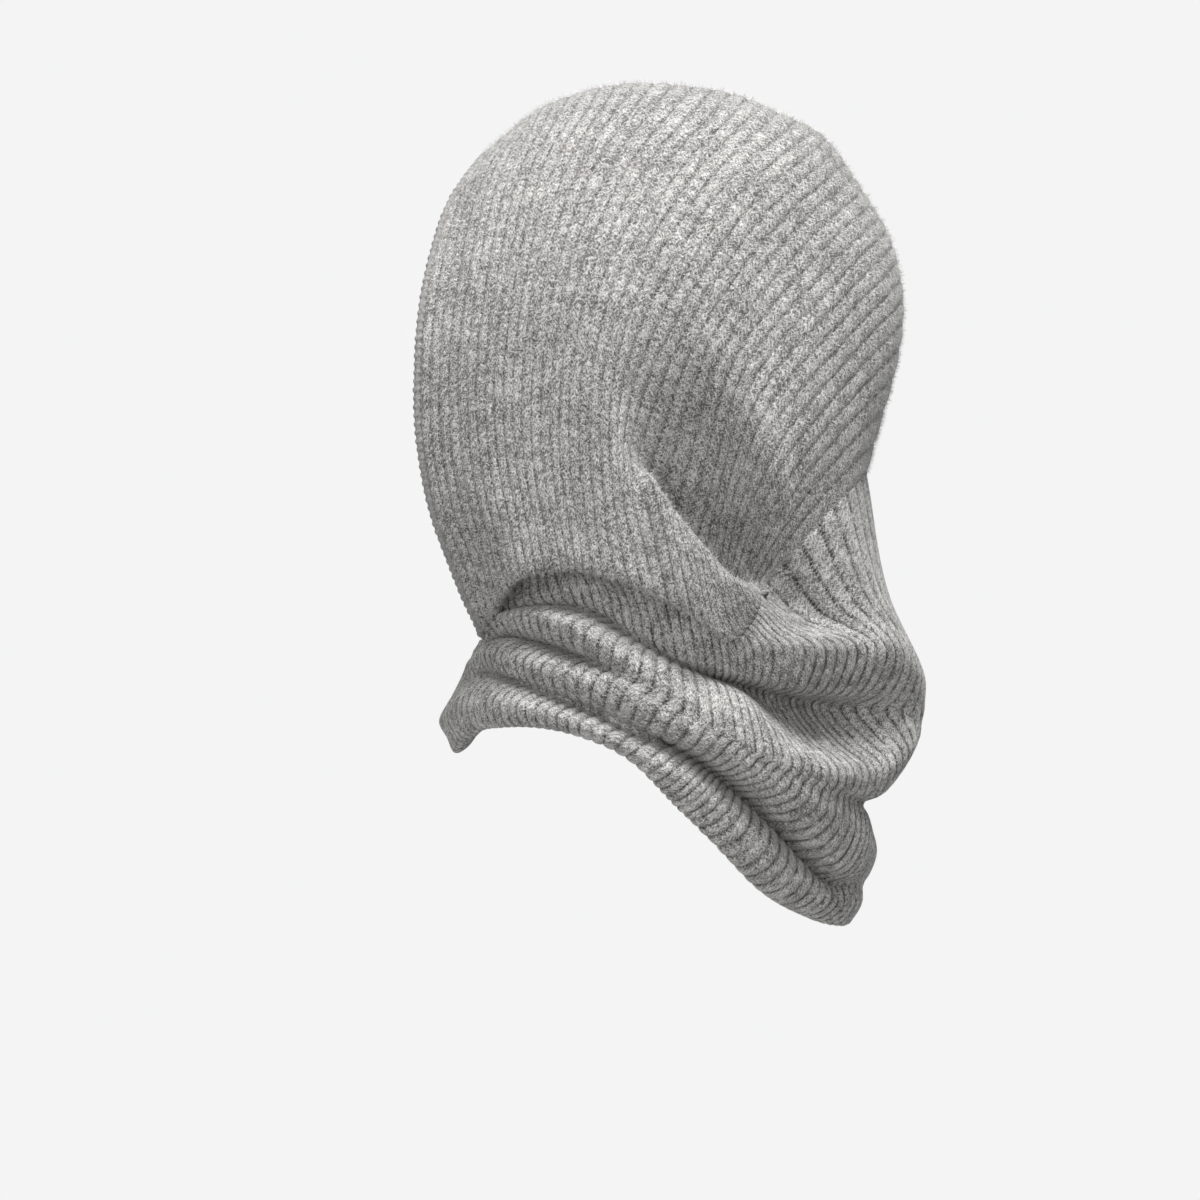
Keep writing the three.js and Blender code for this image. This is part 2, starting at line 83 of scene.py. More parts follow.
RIB_LINES = (
    RibLine(0, (-77, -245.5, 34), (-80.5, -240.5, 39), (-88, -223, 50), (-100.5, -188, 64),
            (-106.5, -138.5, 71), (-103.5, -93.5, 67), (-93.5, -52, 46), (-78, -26, 0)),
    RibLine(7, (-61, -216.5, 60), (-64.5, -220.5, 76), (-70.5, -195, 79.5), (-76, -170, 81),
            (-77.5, -132, 83), (-72.5, -84.5, 80), (-63, -39.5, 60), (-47, -4, 0)),
    RibLine(12.5, (-43.5, -211.5, 63), (-45.5, -216, 83), (-50.5, -192.5, 86), (-54.5, -165.5, 87),
            (-55, -132, 88), (-49, -87, 86), (-32.5, -36, 62), (-7, 4, 0)),
    RibLine(17.5, (-26.5, -212, 66), (-28, -217.5, 90), (-31, -197, 90), (-34, -165.5, 91),
            (-33.5, -134, 92.5), (-23.5, -89, 89), (3.5, -39.5, 62), (36, -2, 0)),
    RibLine(20, (-11, -214.5, 67), (-14, -221.5, 95), (-19.5, -197, 95), (-22.5, -165.5, 95.5),
            (-22, -138.5, 94), (-11, -96, 90), (20, -44, 64), (53, -9, 0)),
    RibLine(22, (2, -221, 69), (-2, -227.5, 95), (-9.5, -197, 96), (-16, -170, 96),
            (-13.5, -141, 90), (1, -102.5, 87), (35, -48.5, 66), (70, -17, 0)),
    RibLine(24.2, (13, -228, 74), (10, -233.5, 96), (-4, -175.5, 97), (-9, -168.5, 83),
            (-4, -150, 79), (12.5, -109.5, 85), (47.5, -59, 65), (80.5, -27.5, 0)),
    RibLine(26, (23, -236, 81), (20, -240.5, 95.5), (5.5, -189, 97.5), (0, -187.5, 63),
            (6.5, -162, 67), (21.5, -115, 84), (58, -66.5, 62), (87.5, -38, 0)),
    RibLine(28.2, (31.5, -245, 87.5), (28, -247, 91), (16, -202, 97.5), (11, -205, 56),
            (17.5, -182, 59), (33.5, -123, 82), (71, -76.5, 58), (96, -51.5, 0)),
    RibLine(31.5, (39, -240, 87.5), (37, -240.5, 89.5), (28, -216, 96), (24, -216.5, 53),
            (28, -193.5, 56), (44, -143.5, 82), (82.5, -98, 55), (106, -73, 0)),
    RibLine(35.5, (43.5, -231.5, 84), (42.5, -231.5, 86), (36.5, -222, 91), (34, -221.5, 54),
            (38, -207, 55), (54.5, -173.5, 80), (85.5, -134, 53), (109, -109.5, 0)),
    RibLine(40, (44, -224.5, 68), (44.5, -223.5, 64), (45.5, -222, 60), (47.5, -218, 56),
            (52, -213.5, 56), (61.5, -204, 64), (79, -185, 54), (92.5, -172, 0)),
)
CROWN_ROUNDING = (0.56, 0.27)  # outness kept and fall done, one place between brow and crown
CHIN = (-80.5, -247.0)  # back and up of the neck's top edge under the chin
AXIS_BACK = 9.0  # where the middle of the neck is
LEAST_CHORD, CHORD_POWER = 0.05, 0.7  # spacing of a cloth line's knots from the lengths between them
ROUND_DEGREES = (0, 30, 60, 75, 90, 120, 150, 180)  # from the chin to the nape


@dataclass(frozen=True)
class FoldRow:
    """One row of the neck's rolls at ROUND_DEGREES.

    It holds how far the ribs have swung to the front in degrees, the heights, and the distances from the
    neck's axis.
    """

    name: str
    swing: Sequence[float]
    up: Sequence[float]
    out: Sequence[float]


FOLDS = (
    FoldRow("top roll", (0, 0, -1, -1, -2, 6, 7, 0),
            (-249, -232, -223, -232, -245, -249, -250, -264.5),
            (90.5, 88, 82, 79, 83, 96, 104, 110)),
    FoldRow("groove", (0, -1, -4, -4, -5, 2, 3, 0),
            (-250.5, -233.5, -234, -245, -257, -269.5, -276, -279),
            (91.5, 85.5, 75, 76, 74, 68, 75, 109.5)),
    FoldRow("wide roll", (0, 1, -2, -4, -6, -1, 1, 0),
            (-252.5, -235.5, -239, -253.5, -270, -299, -304.5, -290.5),
            (92.5, 94, 99, 97.5, 97, 100, 101, 107.5)),
    FoldRow("groove", (0, 1, 1, -2, -6, -1, 0, 0),
            (-255.5, -245.5, -254.5, -263, -277, -304, -318, -320),
            (94, 85, 81, 95, 96.5, 99.5, 90, 79.5)),
    FoldRow("low roll", (0, 2, 4, 1, -3, 2, 1, 0),
            (-259, -252, -262.5, -272, -284.5, -312.5, -333.5, -341),
            (96, 98.5, 99, 97.5, 97, 97, 92.5, 88)),
    FoldRow("groove", (0, 3, 7, 7, 1, 8, 3, 0),
            (-264.5, -263, -276.5, -286, -295, -324, -353, -356.5),
            (98.5, 88, 79, 76, 74, 68, 71, 82)),
    FoldRow("last roll", (0, 4, 8, 9, 7, 15, 9, 0),
            (-283.5, -273.5, -281, -292.5, -307, -342, -362.5, -364.5),
            (108, 105, 101, 98, 94, 82, 78, 82)),
    FoldRow("turned hem", (0, 5, 9, 11, 12, 23, 16, 0),
            (-297, -285.5, -288.5, -299, -322, -357.5, -371, -375),
            (101, 98, 92, 90, 86, 71, 68, 75)),
)

# How a roll's shoulder changes its reach and drop at the side, and at the back, by the span it lies in.
LIP_SPAN, WIDE_SPAN = 0, 2
SHOULDER_SHIFTS = {
    LIP_SPAN: ((-0.4, -0.32), (0.13, -0.03)),
    WIDE_SPAN: ((-0.24, -0.3), (0.08, 0.18)),
}
PLAIN_SHIFT = ((0.0, 0.0), (-0.16, -0.12))


def smoothstep(x: Array | float) -> Array | float:
    """Ease from 0 to 1."""
    t = np.clip(x, 0.0, 1.0)
    return t * t * (3.0 - 2.0 * t)


def unit(v: Array) -> Array:
    """Rows of v made one long."""
    return v / np.maximum(np.linalg.norm(v, axis=-1, keepdims=True), 1e-9)


def slopes(rows: Array, wide: Array) -> Array:
    """Slope of a smooth curve at each row, from the spans before and after it."""
    step = np.diff(rows, axis=0) / wide
    slope = np.empty_like(rows)
    slope[0], slope[-1] = step[0], step[-1]
    slope[1:-1] = (step[:-1] * wide[1:] + step[1:] * wide[:-1]) / (wide[1:] + wide[:-1])
    return slope


def between(f: Array, wide: Array, ends: Sequence[Array], end_slopes: Sequence[Array]) -> Array:
    """Places at shares f of a span of a smooth curve, from its ends and their slopes."""
    (a, b), (da, db) = ends, end_slopes
    return ((2 * f**3 - 3 * f**2 + 1) * a + (f**3 - 2 * f**2 + f) * wide * da
            + (3 * f**2 - 2 * f**3) * b + (f**3 - f**2) * wide * db)


def through(knots: Array, rows: Array, at: Array) -> Array:
    """Smooth curve through rows of numbers.

    Args:
        knots: rising places of the rows, (R,).
        rows: numbers at each knot, (R, ...).
        at: places to read, (N,).

    Returns:
        Numbers at each place, (N, ...).
    """
    rows = np.asarray(rows, float)
    level = (-1,) + (1,) * (rows.ndim - 1)
    span = np.diff(knots)
    wide = span.reshape(level)
    slope = slopes(rows, wide)
    i = np.clip(np.searchsorted(knots, at, side="right") - 1, 0, len(knots) - 2)
    f = ((at - knots[i]) / span[i]).reshape(level)
    return between(f, wide[i], (rows[i], rows[i + 1]), (slope[i], slope[i + 1]))


class Wander:
    """Slow unevenness of hand-sized cloth: a sum of waves with fixed random directions."""

    def __init__(self, seed: int, length_mm: float, waves: int = 9) -> None:
        """Draw the waves once.

        Args:
            seed: fixed seed.
            length_mm: typical length of a wave.
            waves: how many are summed.
        """
        rng = np.random.default_rng(seed)
        self.k = unit(rng.normal(size=(waves, 3))) * (2 * math.pi / length_mm)
        self.k *= rng.uniform(0.6, 1.5, size=(waves, 1))
        self.phase = rng.uniform(0, 2 * math.pi, waves)

    def __call__(self, points: Array) -> Array:
        """Value from about -1 to 1 at points in mm, (..., 3)."""
        return np.sin(points @ self.k.T + self.phase).sum(-1) / math.sqrt(len(self.phase)) / 1.4


@dataclass
class ClothForm:
    """The outside of the whole knit as rib columns, from the hem up over the crown."""

    chin_ribs: int = 5
    side_ribs: int = 40
    back_ribs: int = 10
    hem_turn_up: float = 20.0
    hem_inward: float = 11.0
    hem_corner: tuple[float, float] = (0.62, 0.2)  # shares of both where the hem turns up
    chin_round: float = 0.55  # how round the neck's top edge is at the chin
    ordered: int = 4  # lines under the top edge that have to fall by the least drop
    least_drop: float = 1.6
    shoulder: tuple[float, float] = (0.66, 0.77)  # reach kept and drop done between crest and groove
    front_to: float = 30.0  # degrees from the chin where the front ends
    side_span: tuple[float, float] = (100.0, 30.0)  # degrees where the side starts, and over which it sets in
    back_span: tuple[float, float] = (147.0, 33.0)

    @property
    def half(self) -> int:
        """Ribs in half of the neck."""
        return self.chin_ribs + self.side_ribs + self.back_ribs

    @property
    def side_to(self) -> int:
        """Column where the back seam starts."""
        return self.chin_ribs + self.side_ribs

    def panel_controls(self, ribs: Array) -> Array:
        """Places of rib lines of the head panel from the left neck over the crown to the right one.

        Args:
            ribs: rib numbers, (N,).

        Returns:
            Points (x, y, z) in mm, (N, 17, 3).
        """
        knots = np.array([line.rib for line in RIB_LINES])
        table = np.array([astuple(line)[1:] for line in RIB_LINES], float)
        half = through(knots, table, ribs)
        brow, crown = half[:, -2], half[:, -1]
        keep, fall = CROWN_ROUNDING
        mid = crown + (brow - crown) * fall
        mid[:, 2] = brow[:, 2] * keep
        half = np.concatenate([half[:, :-1], mid[:, None], crown[:, None]], axis=1)
        left = half[..., [2, 0, 1]]
        right = left[:, -2::-1] * MIRROR
        return np.concatenate([left, right], axis=1)

    def seam_points(self, shares: Array) -> Array:
        """Points on the back seam at shares of its whole length, (N, 3)."""
        line = dense(self.panel_controls(np.array([float(self.side_ribs)])), 30)[0]
        length = np.concatenate([[0], np.cumsum(np.linalg.norm(np.diff(line, axis=0), axis=1))])
        at = np.clip(shares, 0, 1) * length[-1]
        return np.stack([np.interp(at, length, line[:, c]) for c in range(3)], axis=1)

    def top_edge(self, columns: Array) -> Array:
        """Top edge of the neck at columns of the left half, (N, 3)."""
        side = self.panel_controls(np.clip(columns - self.chin_ribs, 0, self.side_ribs))[:, 0]
        seam = self.seam_points((columns - self.side_to) / self.back_ribs / 2)
        back, up, out = RIB_LINES[0].neck
        share = np.clip(columns / self.chin_ribs, 0, 1)
        chin = np.stack([
            out * (np.sin(share * math.pi / 2) * self.chin_round + share * (1 - self.chin_round)),
            CHIN[0] + (back - CHIN[0]) * share**2,
            CHIN[1] + (up - CHIN[1]) * share**2,
        ], axis=1)
        edge = np.where((columns < self.chin_ribs)[:, None], chin, side)
        return np.where((columns > self.side_to)[:, None], seam, edge)

    def neck_controls(self, columns: Array) -> Array:
        """Places of the neck's cloth from its top edge down and into the hem, left half.

        Args:
            columns: rib columns from the chin (0) to the nape, (N,).

        Returns:
            Points in mm, (N, K, 3).
        """
        top = self.top_edge(columns)
        even = columns / self.half * 180.0
        ring_knots = np.array([-30, *ROUND_DEGREES, 210], float)
        angle0 = np.degrees(np.arctan2(np.abs(top[:, 0]), AXIS_BACK - top[:, 1]))
        main = [np.stack([angle0, np.hypot(top[:, 0], top[:, 1] - AXIS_BACK), top[:, 2]], axis=1)]
        for row in FOLDS:
            swing = np.array([-row.swing[1], *row.swing, -row.swing[-2]], float)
            angle = even - through(ring_knots, swing, even)
            pair = np.stack([row.out, row.up], axis=1)
            pair = np.concatenate([pair[1:2], pair, pair[-2:-1]])
            main.append(np.concatenate([angle[:, None], through(ring_knots, pair, angle)], axis=1))
        for i in range(1, self.ordered + 1):
            main[i][:, 2] = np.minimum(main[i][:, 2], main[i - 1][:, 2] - self.least_drop)
        hem = main[-1]
        main.append(hem + np.array([0, -self.hem_inward, self.hem_turn_up]))
        front = 1 - smoothstep(even / self.front_to)
        side, back = (smoothstep((even - start) / span) for start, span in (self.side_span, self.back_span))
        line = []
        for i in range(len(main) - 1):
            line.append(main[i])
            if i == len(main) - 2:
                inward, upward = self.hem_corner
                line.append(hem + np.array([0, -self.hem_inward * inward, self.hem_turn_up * upward]))
                continue
            crest, groove = (main[i], main[i + 1]) if i % 2 else (main[i + 1], main[i])
            shifts = SHOULDER_SHIFTS.get(i, PLAIN_SHIFT)
            reach, drop = (part + (0.5 - part) * front + at_side * side + at_back * back
                           for part, at_side, at_back in zip(self.shoulder, *shifts))
            middle = (crest + groove) / 2
            middle[:, 1] = groove[:, 1] + (crest[:, 1] - groove[:, 1]) * reach
            middle[:, 2] = crest[:, 2] + (groove[:, 2] - crest[:, 2]) * drop
            line.append(middle)
        line.append(main[-1])
        polar = np.stack(line, axis=1)
        turn = np.radians(polar[..., 0])
        return np.stack([
            polar[..., 1] * np.sin(turn),
            AXIS_BACK - polar[..., 1] * np.cos(turn),
            polar[..., 2],
        ], axis=-1)


def dense(controls: Array, per_span: int, first: int = 0, last: int | None = None) -> Array:
    """Points along smooth curves through control points.

    Args:
        controls: (C, N, 3).
        per_span: points in each span.
        first: control that the line starts at; those before it only bend it.
        last: control that it ends at.

    Returns:
        Points, (C, M, 3).
    """
    last = controls.shape[1] - 1 if last is None else last
    rows = controls.swapaxes(0, 1)
    chord = np.linalg.norm(np.diff(rows, axis=0), axis=-1)
    wide = (np.maximum(chord, LEAST_CHORD) ** CHORD_POWER)[..., None]
    slope = slopes(rows, wide)
    f = (np.arange(per_span) / per_span)[:, None, None]
    parts = [between(f, wide[i], rows[i:i + 2], slope[i:i + 2]) for i in range(first, last)]
    return np.concatenate([*parts, rows[last:last + 1]]).swapaxes(0, 1)


def even_rows(lines: Array, rows: int) -> tuple[Array, Array]:
    """Lines resampled to equal steps of their own length.

    Args:
        lines: (C, M, 3).
        rows: how many points each line gets.

    Returns:
        Points (C, rows, 3) and each line's length (C,).
    """
    out = np.empty((len(lines), rows, 3))
    steps = np.linalg.norm(np.diff(lines, axis=1), axis=-1)
    length = np.concatenate([np.zeros((len(lines), 1)), np.cumsum(steps, axis=1)], axis=1)
    share = np.linspace(0, 1, rows)
    for i, line in enumerate(lines):
        at = share * length[i, -1]
        for c in range(3):
            out[i, :, c] = np.interp(at, length[i], line[:, c])
    return out, length[:, -1]


@dataclass
class Sheet:
    """A grid of cloth: points (C, R, 3) in mm, ways out (C, R, 3), rib and stitch counts (C, R)."""

    points: Array
    out: Array
    rib: Array
    stitch: Array

    def thinned(self, every: tuple[int, int]) -> "Sheet":
        """The same sheet with fewer columns and rows, both ends kept."""
        a, b = every
        return Sheet(self.points[::a, ::b], self.out[::a, ::b], self.rib[::a, ::b], self.stitch[::a, ::b])


def ways_out(points: Array, closed: bool) -> Array:
    """Outward directions of a grid of points, columns first.

    Args:
        points: (C, R, 3).
        closed: whether the last column meets the first.

    Returns:
        Unit vectors, (C, R, 3).
    """
    if closed:
        across = np.roll(points, -1, axis=0) - np.roll(points, 1, axis=0)
    else:
        across = np.gradient(points, axis=0)
    along = np.gradient(points, axis=1)
    return unit(np.cross(across, along))


def new_object(name: str, verts: Array, faces: Sequence[Sequence[int]]) -> bpy.types.Object:
    """Mesh object from points in metres."""
    mesh = bpy.data.meshes.new(name)
    mesh.from_pydata([tuple(v) for v in verts], [], [tuple(f) for f in faces])
    mesh.update()
    obj = bpy.data.objects.new(name, mesh)
    bpy.context.scene.collection.objects.link(obj)
    mesh.shade_smooth()
    return obj


def put_attribute(obj: bpy.types.Object, name: str, kind: str, values: Array) -> None:
    """Store a value or vector on each vertex."""
    layer = obj.data.attributes.new(name, kind, "POINT")
    key = "value" if kind == "FLOAT" else "vector"
    layer.data.foreach_set(key, np.ascontiguousarray(values, dtype=np.float32).ravel())


def grid_quads(columns: int, rows: int, start: int, closed: bool, flip: bool) -> list[list[int]]:
    """Faces of a grid of vertices numbered column by column."""
    faces = []
    spans = columns if closed else columns - 1
    for i in range(spans):
        a = start + i * rows
        b = start + ((i + 1) % columns) * rows
        for j in range(rows - 1):
            quad = [a + j, b + j, b + j + 1, a + j + 1]
            faces.append(quad[::-1] if flip else quad)
    return faces


def rim_faces(outer: Sequence[int], inner: Sequence[int], flip: bool) -> list[list[int]]:
    """Strip between two lines of vertices with different counts."""
    faces = []
    i = j = 0
    n, m = len(outer) - 1, len(inner) - 1
    while i < n or j < m:
        if j >= m or (i < n and (i + 1) / n <= (j + 1) / m):
            face = [outer[i], inner[j], outer[i + 1]]
            i += 1
        else:
            face = [outer[i], inner[j], inner[j + 1]]
            j += 1
        faces.append(face[::-1] if flip else face)
    return faces


@dataclass
class Wall:
    """Closed cloth from one sheet: its outside, its inside a wall's thickness in, and its rims."""

    name: str
    sheet: Sheet
    thick: float
    closed: bool
    every: tuple[int, int]

    def build(self) -> bpy.types.Object:
        """Make the mesh with the attributes that the rib relief and the knit map read."""
        outer = self.sheet
        inner = outer.thinned(self.every)
        c, r = outer.points.shape[:2]
        ci, ri = inner.points.shape[:2]
        verts = np.concatenate([
            outer.points.reshape(-1, 3),
            (inner.points - inner.out * self.thick).reshape(-1, 3),
        ]) * MM
        faces = grid_quads(c, r, 0, self.closed, False)
        base = c * r
        faces += grid_quads(ci, ri, base, self.closed, True)
        wrap_o = list(range(c)) + ([0] if self.closed else [])
        wrap_i = list(range(ci)) + ([0] if self.closed else [])
        for j_o, j_i, flip in ((0, 0, True), (r - 1, ri - 1, False)):
            faces += rim_faces([i * r + j_o for i in wrap_o], [base + i * ri + j_i for i in wrap_i], not flip)
        if not self.closed:
            for i_o, i_i, flip in ((0, 0, False), (c - 1, ci - 1, True)):
                faces += rim_faces([i_o * r + j for j in range(r)],
                                   [base + i_i * ri + j for j in range(ri)], not flip)
        obj = new_object(self.name, verts, faces)
        count = ci * ri
        put_attribute(obj, "rib_at", "FLOAT", np.concatenate([outer.rib.ravel(), inner.rib.ravel()]))
        put_attribute(obj, "stitch_at", "FLOAT", np.concatenate([outer.stitch.ravel(), inner.stitch.ravel()]))
        put_attribute(obj, "outside", "FLOAT", np.concatenate([np.ones(base), np.zeros(count)]))
        put_attribute(obj, "way_out", "FLOAT_VECTOR",
                      np.concatenate([outer.out.reshape(-1, 3), -inner.out.reshape(-1, 3)]))
        return obj


def add_node(tree: bpy.types.NodeTree, kind: str, *values: Any, **named: Any) -> bpy.types.Node:
    """Add a node with its settings and links.

    Each value is a plain one, a socket, or a node, which stands for its first output.

    Args:
        tree: the node tree.
        kind: the node's type name.
        values: what goes into the inputs in their order; None leaves an input as it is.
        named: with a capital, what goes into the input of that name, with _ for a space; else a setting.

    Returns:
        The new node.
    """
    node = tree.nodes.new(kind)
    links = list(enumerate(values))
    for key, value in named.items():
        if key[0].islower():
            setattr(node, key, value)
        else:
            links.append((key.replace("_", " "), value))
    for key, value in links:
        if isinstance(value, bpy.types.Node):
            value = value.outputs[0]
        if isinstance(value, bpy.types.NodeSocket):
            tree.links.new(value, node.inputs[key])
        elif value is not None:
            node.inputs[key].default_value = value
    return node


def linear(hex_colour: str) -> tuple[float, float, float, float]:
    """sRGB hex to linear colour."""
    parts = [int(hex_colour[i:i + 2], 16) / 255 for i in (1, 3, 5)]
    red, green, blue = (p / 12.92 if p <= 0.04045 else ((p + 0.055) / 1.055) ** 2.4 for p in parts)
    return red, green, blue, 1.0


class Yarn(Enum):
    """Shades of the heather yarn, from its fibres."""

    PALE = "#e2e1df"
    LIGHT = "#c4c3c1"
    MID = "#a7a6a4"
    DEEP = "#7c7b7a"
    SHADE = "#555454"


ARCH_POWER, ARCH_LEVEL = 0.7, 0.6  # how full a rib's arch is, and how much of it is sunk into the cloth
FIBRE_LEAN, HALF_TURN = (0.85, 1.5), 3.14  # how far a loose fibre lies over, in radians, and any way round
FIBRE_SIZES = (0.35, 1.0)  # shares of the longest one
SIZE_SPREAD = 0.06  # how much stitches vary in size
WARM, COOL = "#fffbf9", "#fbfefd"  # what single fibres tint the grey with
WOOL_LOOK = {"Roughness": 0.92, "Specular_IOR_Level": 0.25, "Sheen_Roughness": 0.5}


def new_material(name: str) -> tuple[bpy.types.Material, bpy.types.NodeTree]:
    """Material with an empty node tree."""
    material = bpy.data.materials.new(name)
    material.use_nodes = True
    material.node_tree.nodes.clear()
    return material, material.node_tree


def set_stops(ramp: bpy.types.Node, stops: Sequence[tuple[float, str]]) -> bpy.types.Node:
    """Give a colour ramp its (place, sRGB hex) stops, the last of them at its end."""
    band = ramp.color_ramp
    for at, _ in stops[1:-1]:
        band.elements.new(at)
    for element, (at, colour) in zip(band.elements, stops):
        element.position, element.color = at, linear(colour)
    return ramp


@dataclass(frozen=True)
class HeatherKnit:
    """Brushed wool rib, spun from pale and charcoal fibres.

    Short fibres lie over each other in all directions, so the eye sees streaked salt and pepper and no clean
    stitches. The grooves between the ribs show as fine broken lines of small holes, darkened with painted
    shade, and painted shade darkens each rib from its crest towards its groove.
    """

    name: str
    rib_mm: float = 5.2
    stitch_mm: float = 2.9
    fibre_mm: tuple[float, float] = (0.4, 2.8)  # drawn coarser than real ones, which would not show
    fibre_turns: tuple[float, float, float] = (27.0, -36.0, 5.0)  # degrees from the ribs
    speck_mm: float = 0.7
    cloud_mm: float = 4.167
    patch_mm: float = 13.33  # felted patches, which close the holes
    drift_mm: float = 2.5  # unevenness of the stitches
    gap_mm: float = 4.348  # breaks in the lines of holes
    tint_mm: float = 0.588
    # how dark the painted shade in the holes is; it also sets how deep the holes are in the bump
    hole_shade_depth: float = 0.72
    felting: float = 0.65  # share of the holes that the felted patches close
    grain: float = 1.0
    # painted light: the tone this copy of the yarn starts from, set paler or darker per copy to match how
    # light falls on it
    pale: float = 0.5
    groove_from: float = 0.34  # where the groove starts, as a share of a rib from its crest
    raised_mm: float = 0.3

    def fibres(self, tree: bpy.types.NodeTree, across: Any, along: Any, degrees: float) -> Any:
        """Streaks of lying fibres.

        Args:
            tree: the material's tree.
            across: place across the ribs in mm.
            along: place along them in mm.
            degrees: how the fibres are turned from the ribs.

        Returns:
            Node with a value about 0.5.
        """
        add = partial(add_node, tree)
        c, s = math.cos(math.radians(degrees)), math.sin(math.radians(degrees))
        wide, long = self.fibre_mm
        a, b = (add(MATH, across, x, add(MATH, along, y, operation="MULTIPLY"), operation="MULTIPLY_ADD")
                for x, y in ((c / wide, -s / wide), (s / long, c / long)))
        return add(NOISE, add("ShaderNodeCombineXYZ", a, b, degrees), Scale=1.0, Detail=1.0, Roughness=0.5,
                   Distortion=0.15)

    def make(self) -> bpy.types.Material:
        """Build the material on the knit map."""
        material, tree = new_material(self.name)
        add = partial(add_node, tree)
        rib, stitch, _ = add("ShaderNodeSeparateXYZ", add("ShaderNodeUVMap", uv_map="Knit")).outputs
        across = add(MATH, rib, self.rib_mm, operation="MULTIPLY")
        along = add(MATH, stitch, self.stitch_mm, operation="MULTIPLY")
        side = add(MATH, add(MATH, rib, operation="FRACT"), 0.5, operation="SUBTRACT")
        side = add(MATH, side, operation="ABSOLUTE")
        place = add("ShaderNodeTexCoord").outputs["Object"]
        speck, cloud, patch, drift, gap, tint = (
            add(NOISE, place, Scale=1.0 / (size * MM), Detail=detail, Roughness=0.6)
            for size, detail in ((self.speck_mm, 2.0), (self.cloud_mm, 3.0), (self.patch_mm, 2.0),
                                 (self.drift_mm, 1.0), (self.gap_mm, 1.5), (self.tint_mm, 0.0)))

        # lying fibres: where two lie over each other the paler one shows
        first, second, third = (self.fibres(tree, across, along, turn) for turn in self.fibre_turns)
        streak = add(MATH, add(MATH, first, second, operation="MAXIMUM"),
                     add(MATH, third, 0.04, operation="SUBTRACT"), operation="MAXIMUM")

        # the stitches still show a little through the brushing, and drift
        phase = add(MATH, side, 1.3, stitch, operation="MULTIPLY_ADD")
        phase = add(MATH, add(MATH, drift, 0.5, operation="SUBTRACT"), 0.7, phase, operation="MULTIPLY_ADD")
        wave, dots = (add(MATH, add(MATH, add(MATH, phase, turns * math.pi, operation="MULTIPLY"),
                                    operation="COSINE"), swing, mean, operation="MULTIPLY_ADD")
                      for turns, swing, mean in ((2.0, 0.5, 0.5), (3.4, 0.4, 0.6)))
        felted, groove, broken = (
            add(EASE, value, low, high, start, end, interpolation_type="SMOOTHSTEP")
            for value, low, high, start, end in (
                (patch, 0.38, 0.6, 1.0 - self.felting, 1.0),
                (side, self.groove_from, 0.48, 0.0, 1.0),
                (gap, 0.4, 0.58, 0.05, 1.0)))
        crest = add(MATH, 1.0, groove, operation="SUBTRACT")
        stitching = add(MATH, wave, crest, operation="MULTIPLY")
        hole_and_shade = self.hole_shade_depth
        for value in (groove, broken, dots, felted):
            hole_and_shade = add(MATH, value, hole_and_shade, operation="MULTIPLY")

        # tone: it starts from painted shade, darker from each rib's crest towards its groove, on the painted
        # base tone pale; then how far each part stands from its middle, times how much it counts
        tone = add(MATH, side, -0.2, self.pale, operation="MULTIPLY_ADD")
        for value, middle, much in ((streak, 0.6, 2.4 * self.grain), (speck, 0.5, 2.0 * self.grain),
                                    (cloud, 0.5, 0.8), (patch, 0.5, 0.55), (stitching, 0.5, 0.16)):
            value = add(MATH, value, middle, operation="SUBTRACT")
            tone = add(MATH, value, much, tone, operation="MULTIPLY_ADD")
        shades = set_stops(add("ShaderNodeValToRGB", tone), (
            (0.0, Yarn.SHADE.value), (0.25, Yarn.DEEP.value), (0.48, Yarn.MID.value),
            (0.7, Yarn.LIGHT.value), (1.0, Yarn.PALE.value)))
        tints = set_stops(add("ShaderNodeValToRGB", tint), ((0.35, WARM), (0.65, COOL)))
        colour = add(VECTOR, shades, tints, operation="MULTIPLY")
        # painted shade: the colour is darkened in the holes of the grooves
        colour = add(VECTOR, colour, Scale=add(MATH, 1.0, hole_and_shade, operation="SUBTRACT"), operation="SCALE")

        height = add(MATH, hole_and_shade, -1.0, operation="MULTIPLY")
        for value, much in ((streak, 1.1), (speck, 0.5), (stitching, 0.3)):
            height = add(MATH, value, much, height, operation="MULTIPLY_ADD")
        bump = add("ShaderNodeBump", Strength=0.85, Distance=self.raised_mm * MM, Height=height)
        shader = add("ShaderNodeBsdfPrincipled", colour, Normal=bump, Sheen_Weight=0.3, **WOOL_LOOK)
        add("ShaderNodeOutputMaterial", shader)
        return material


@dataclass(frozen=True)
class YarnFinish:
    """Plain wool yarn of stitches, linking and loose fibres, spun but not brushed.

    It is matt, with a weak sheen from its hairs and slow heather changes from pale to dark.
    """

    name: str
    low: Yarn
    high: Yarn
    speck_mm: float = 1.111  # coarser than real specks, which would not show
    raised_mm: float = 0.3

    def make(self) -> bpy.types.Material:
        """Build the material on object coordinates."""
        material, tree = new_material(self.name)
        add = partial(add_node, tree)
        speck = add(NOISE, add("ShaderNodeTexCoord").outputs["Object"], Scale=1.0 / (self.speck_mm * MM),
                    Detail=2.0)
        stops = ((0.32, self.low.value), (0.68, self.high.value))
        shades = set_stops(add("ShaderNodeValToRGB", speck), stops)
        bump = add("ShaderNodeBump", Strength=0.6, Distance=self.raised_mm * MM, Height=speck)
        shader = add("ShaderNodeBsdfPrincipled", shades, Normal=bump, Sheen_Weight=0.25, **WOOL_LOOK)
        add("ShaderNodeOutputMaterial", shader)
        return material


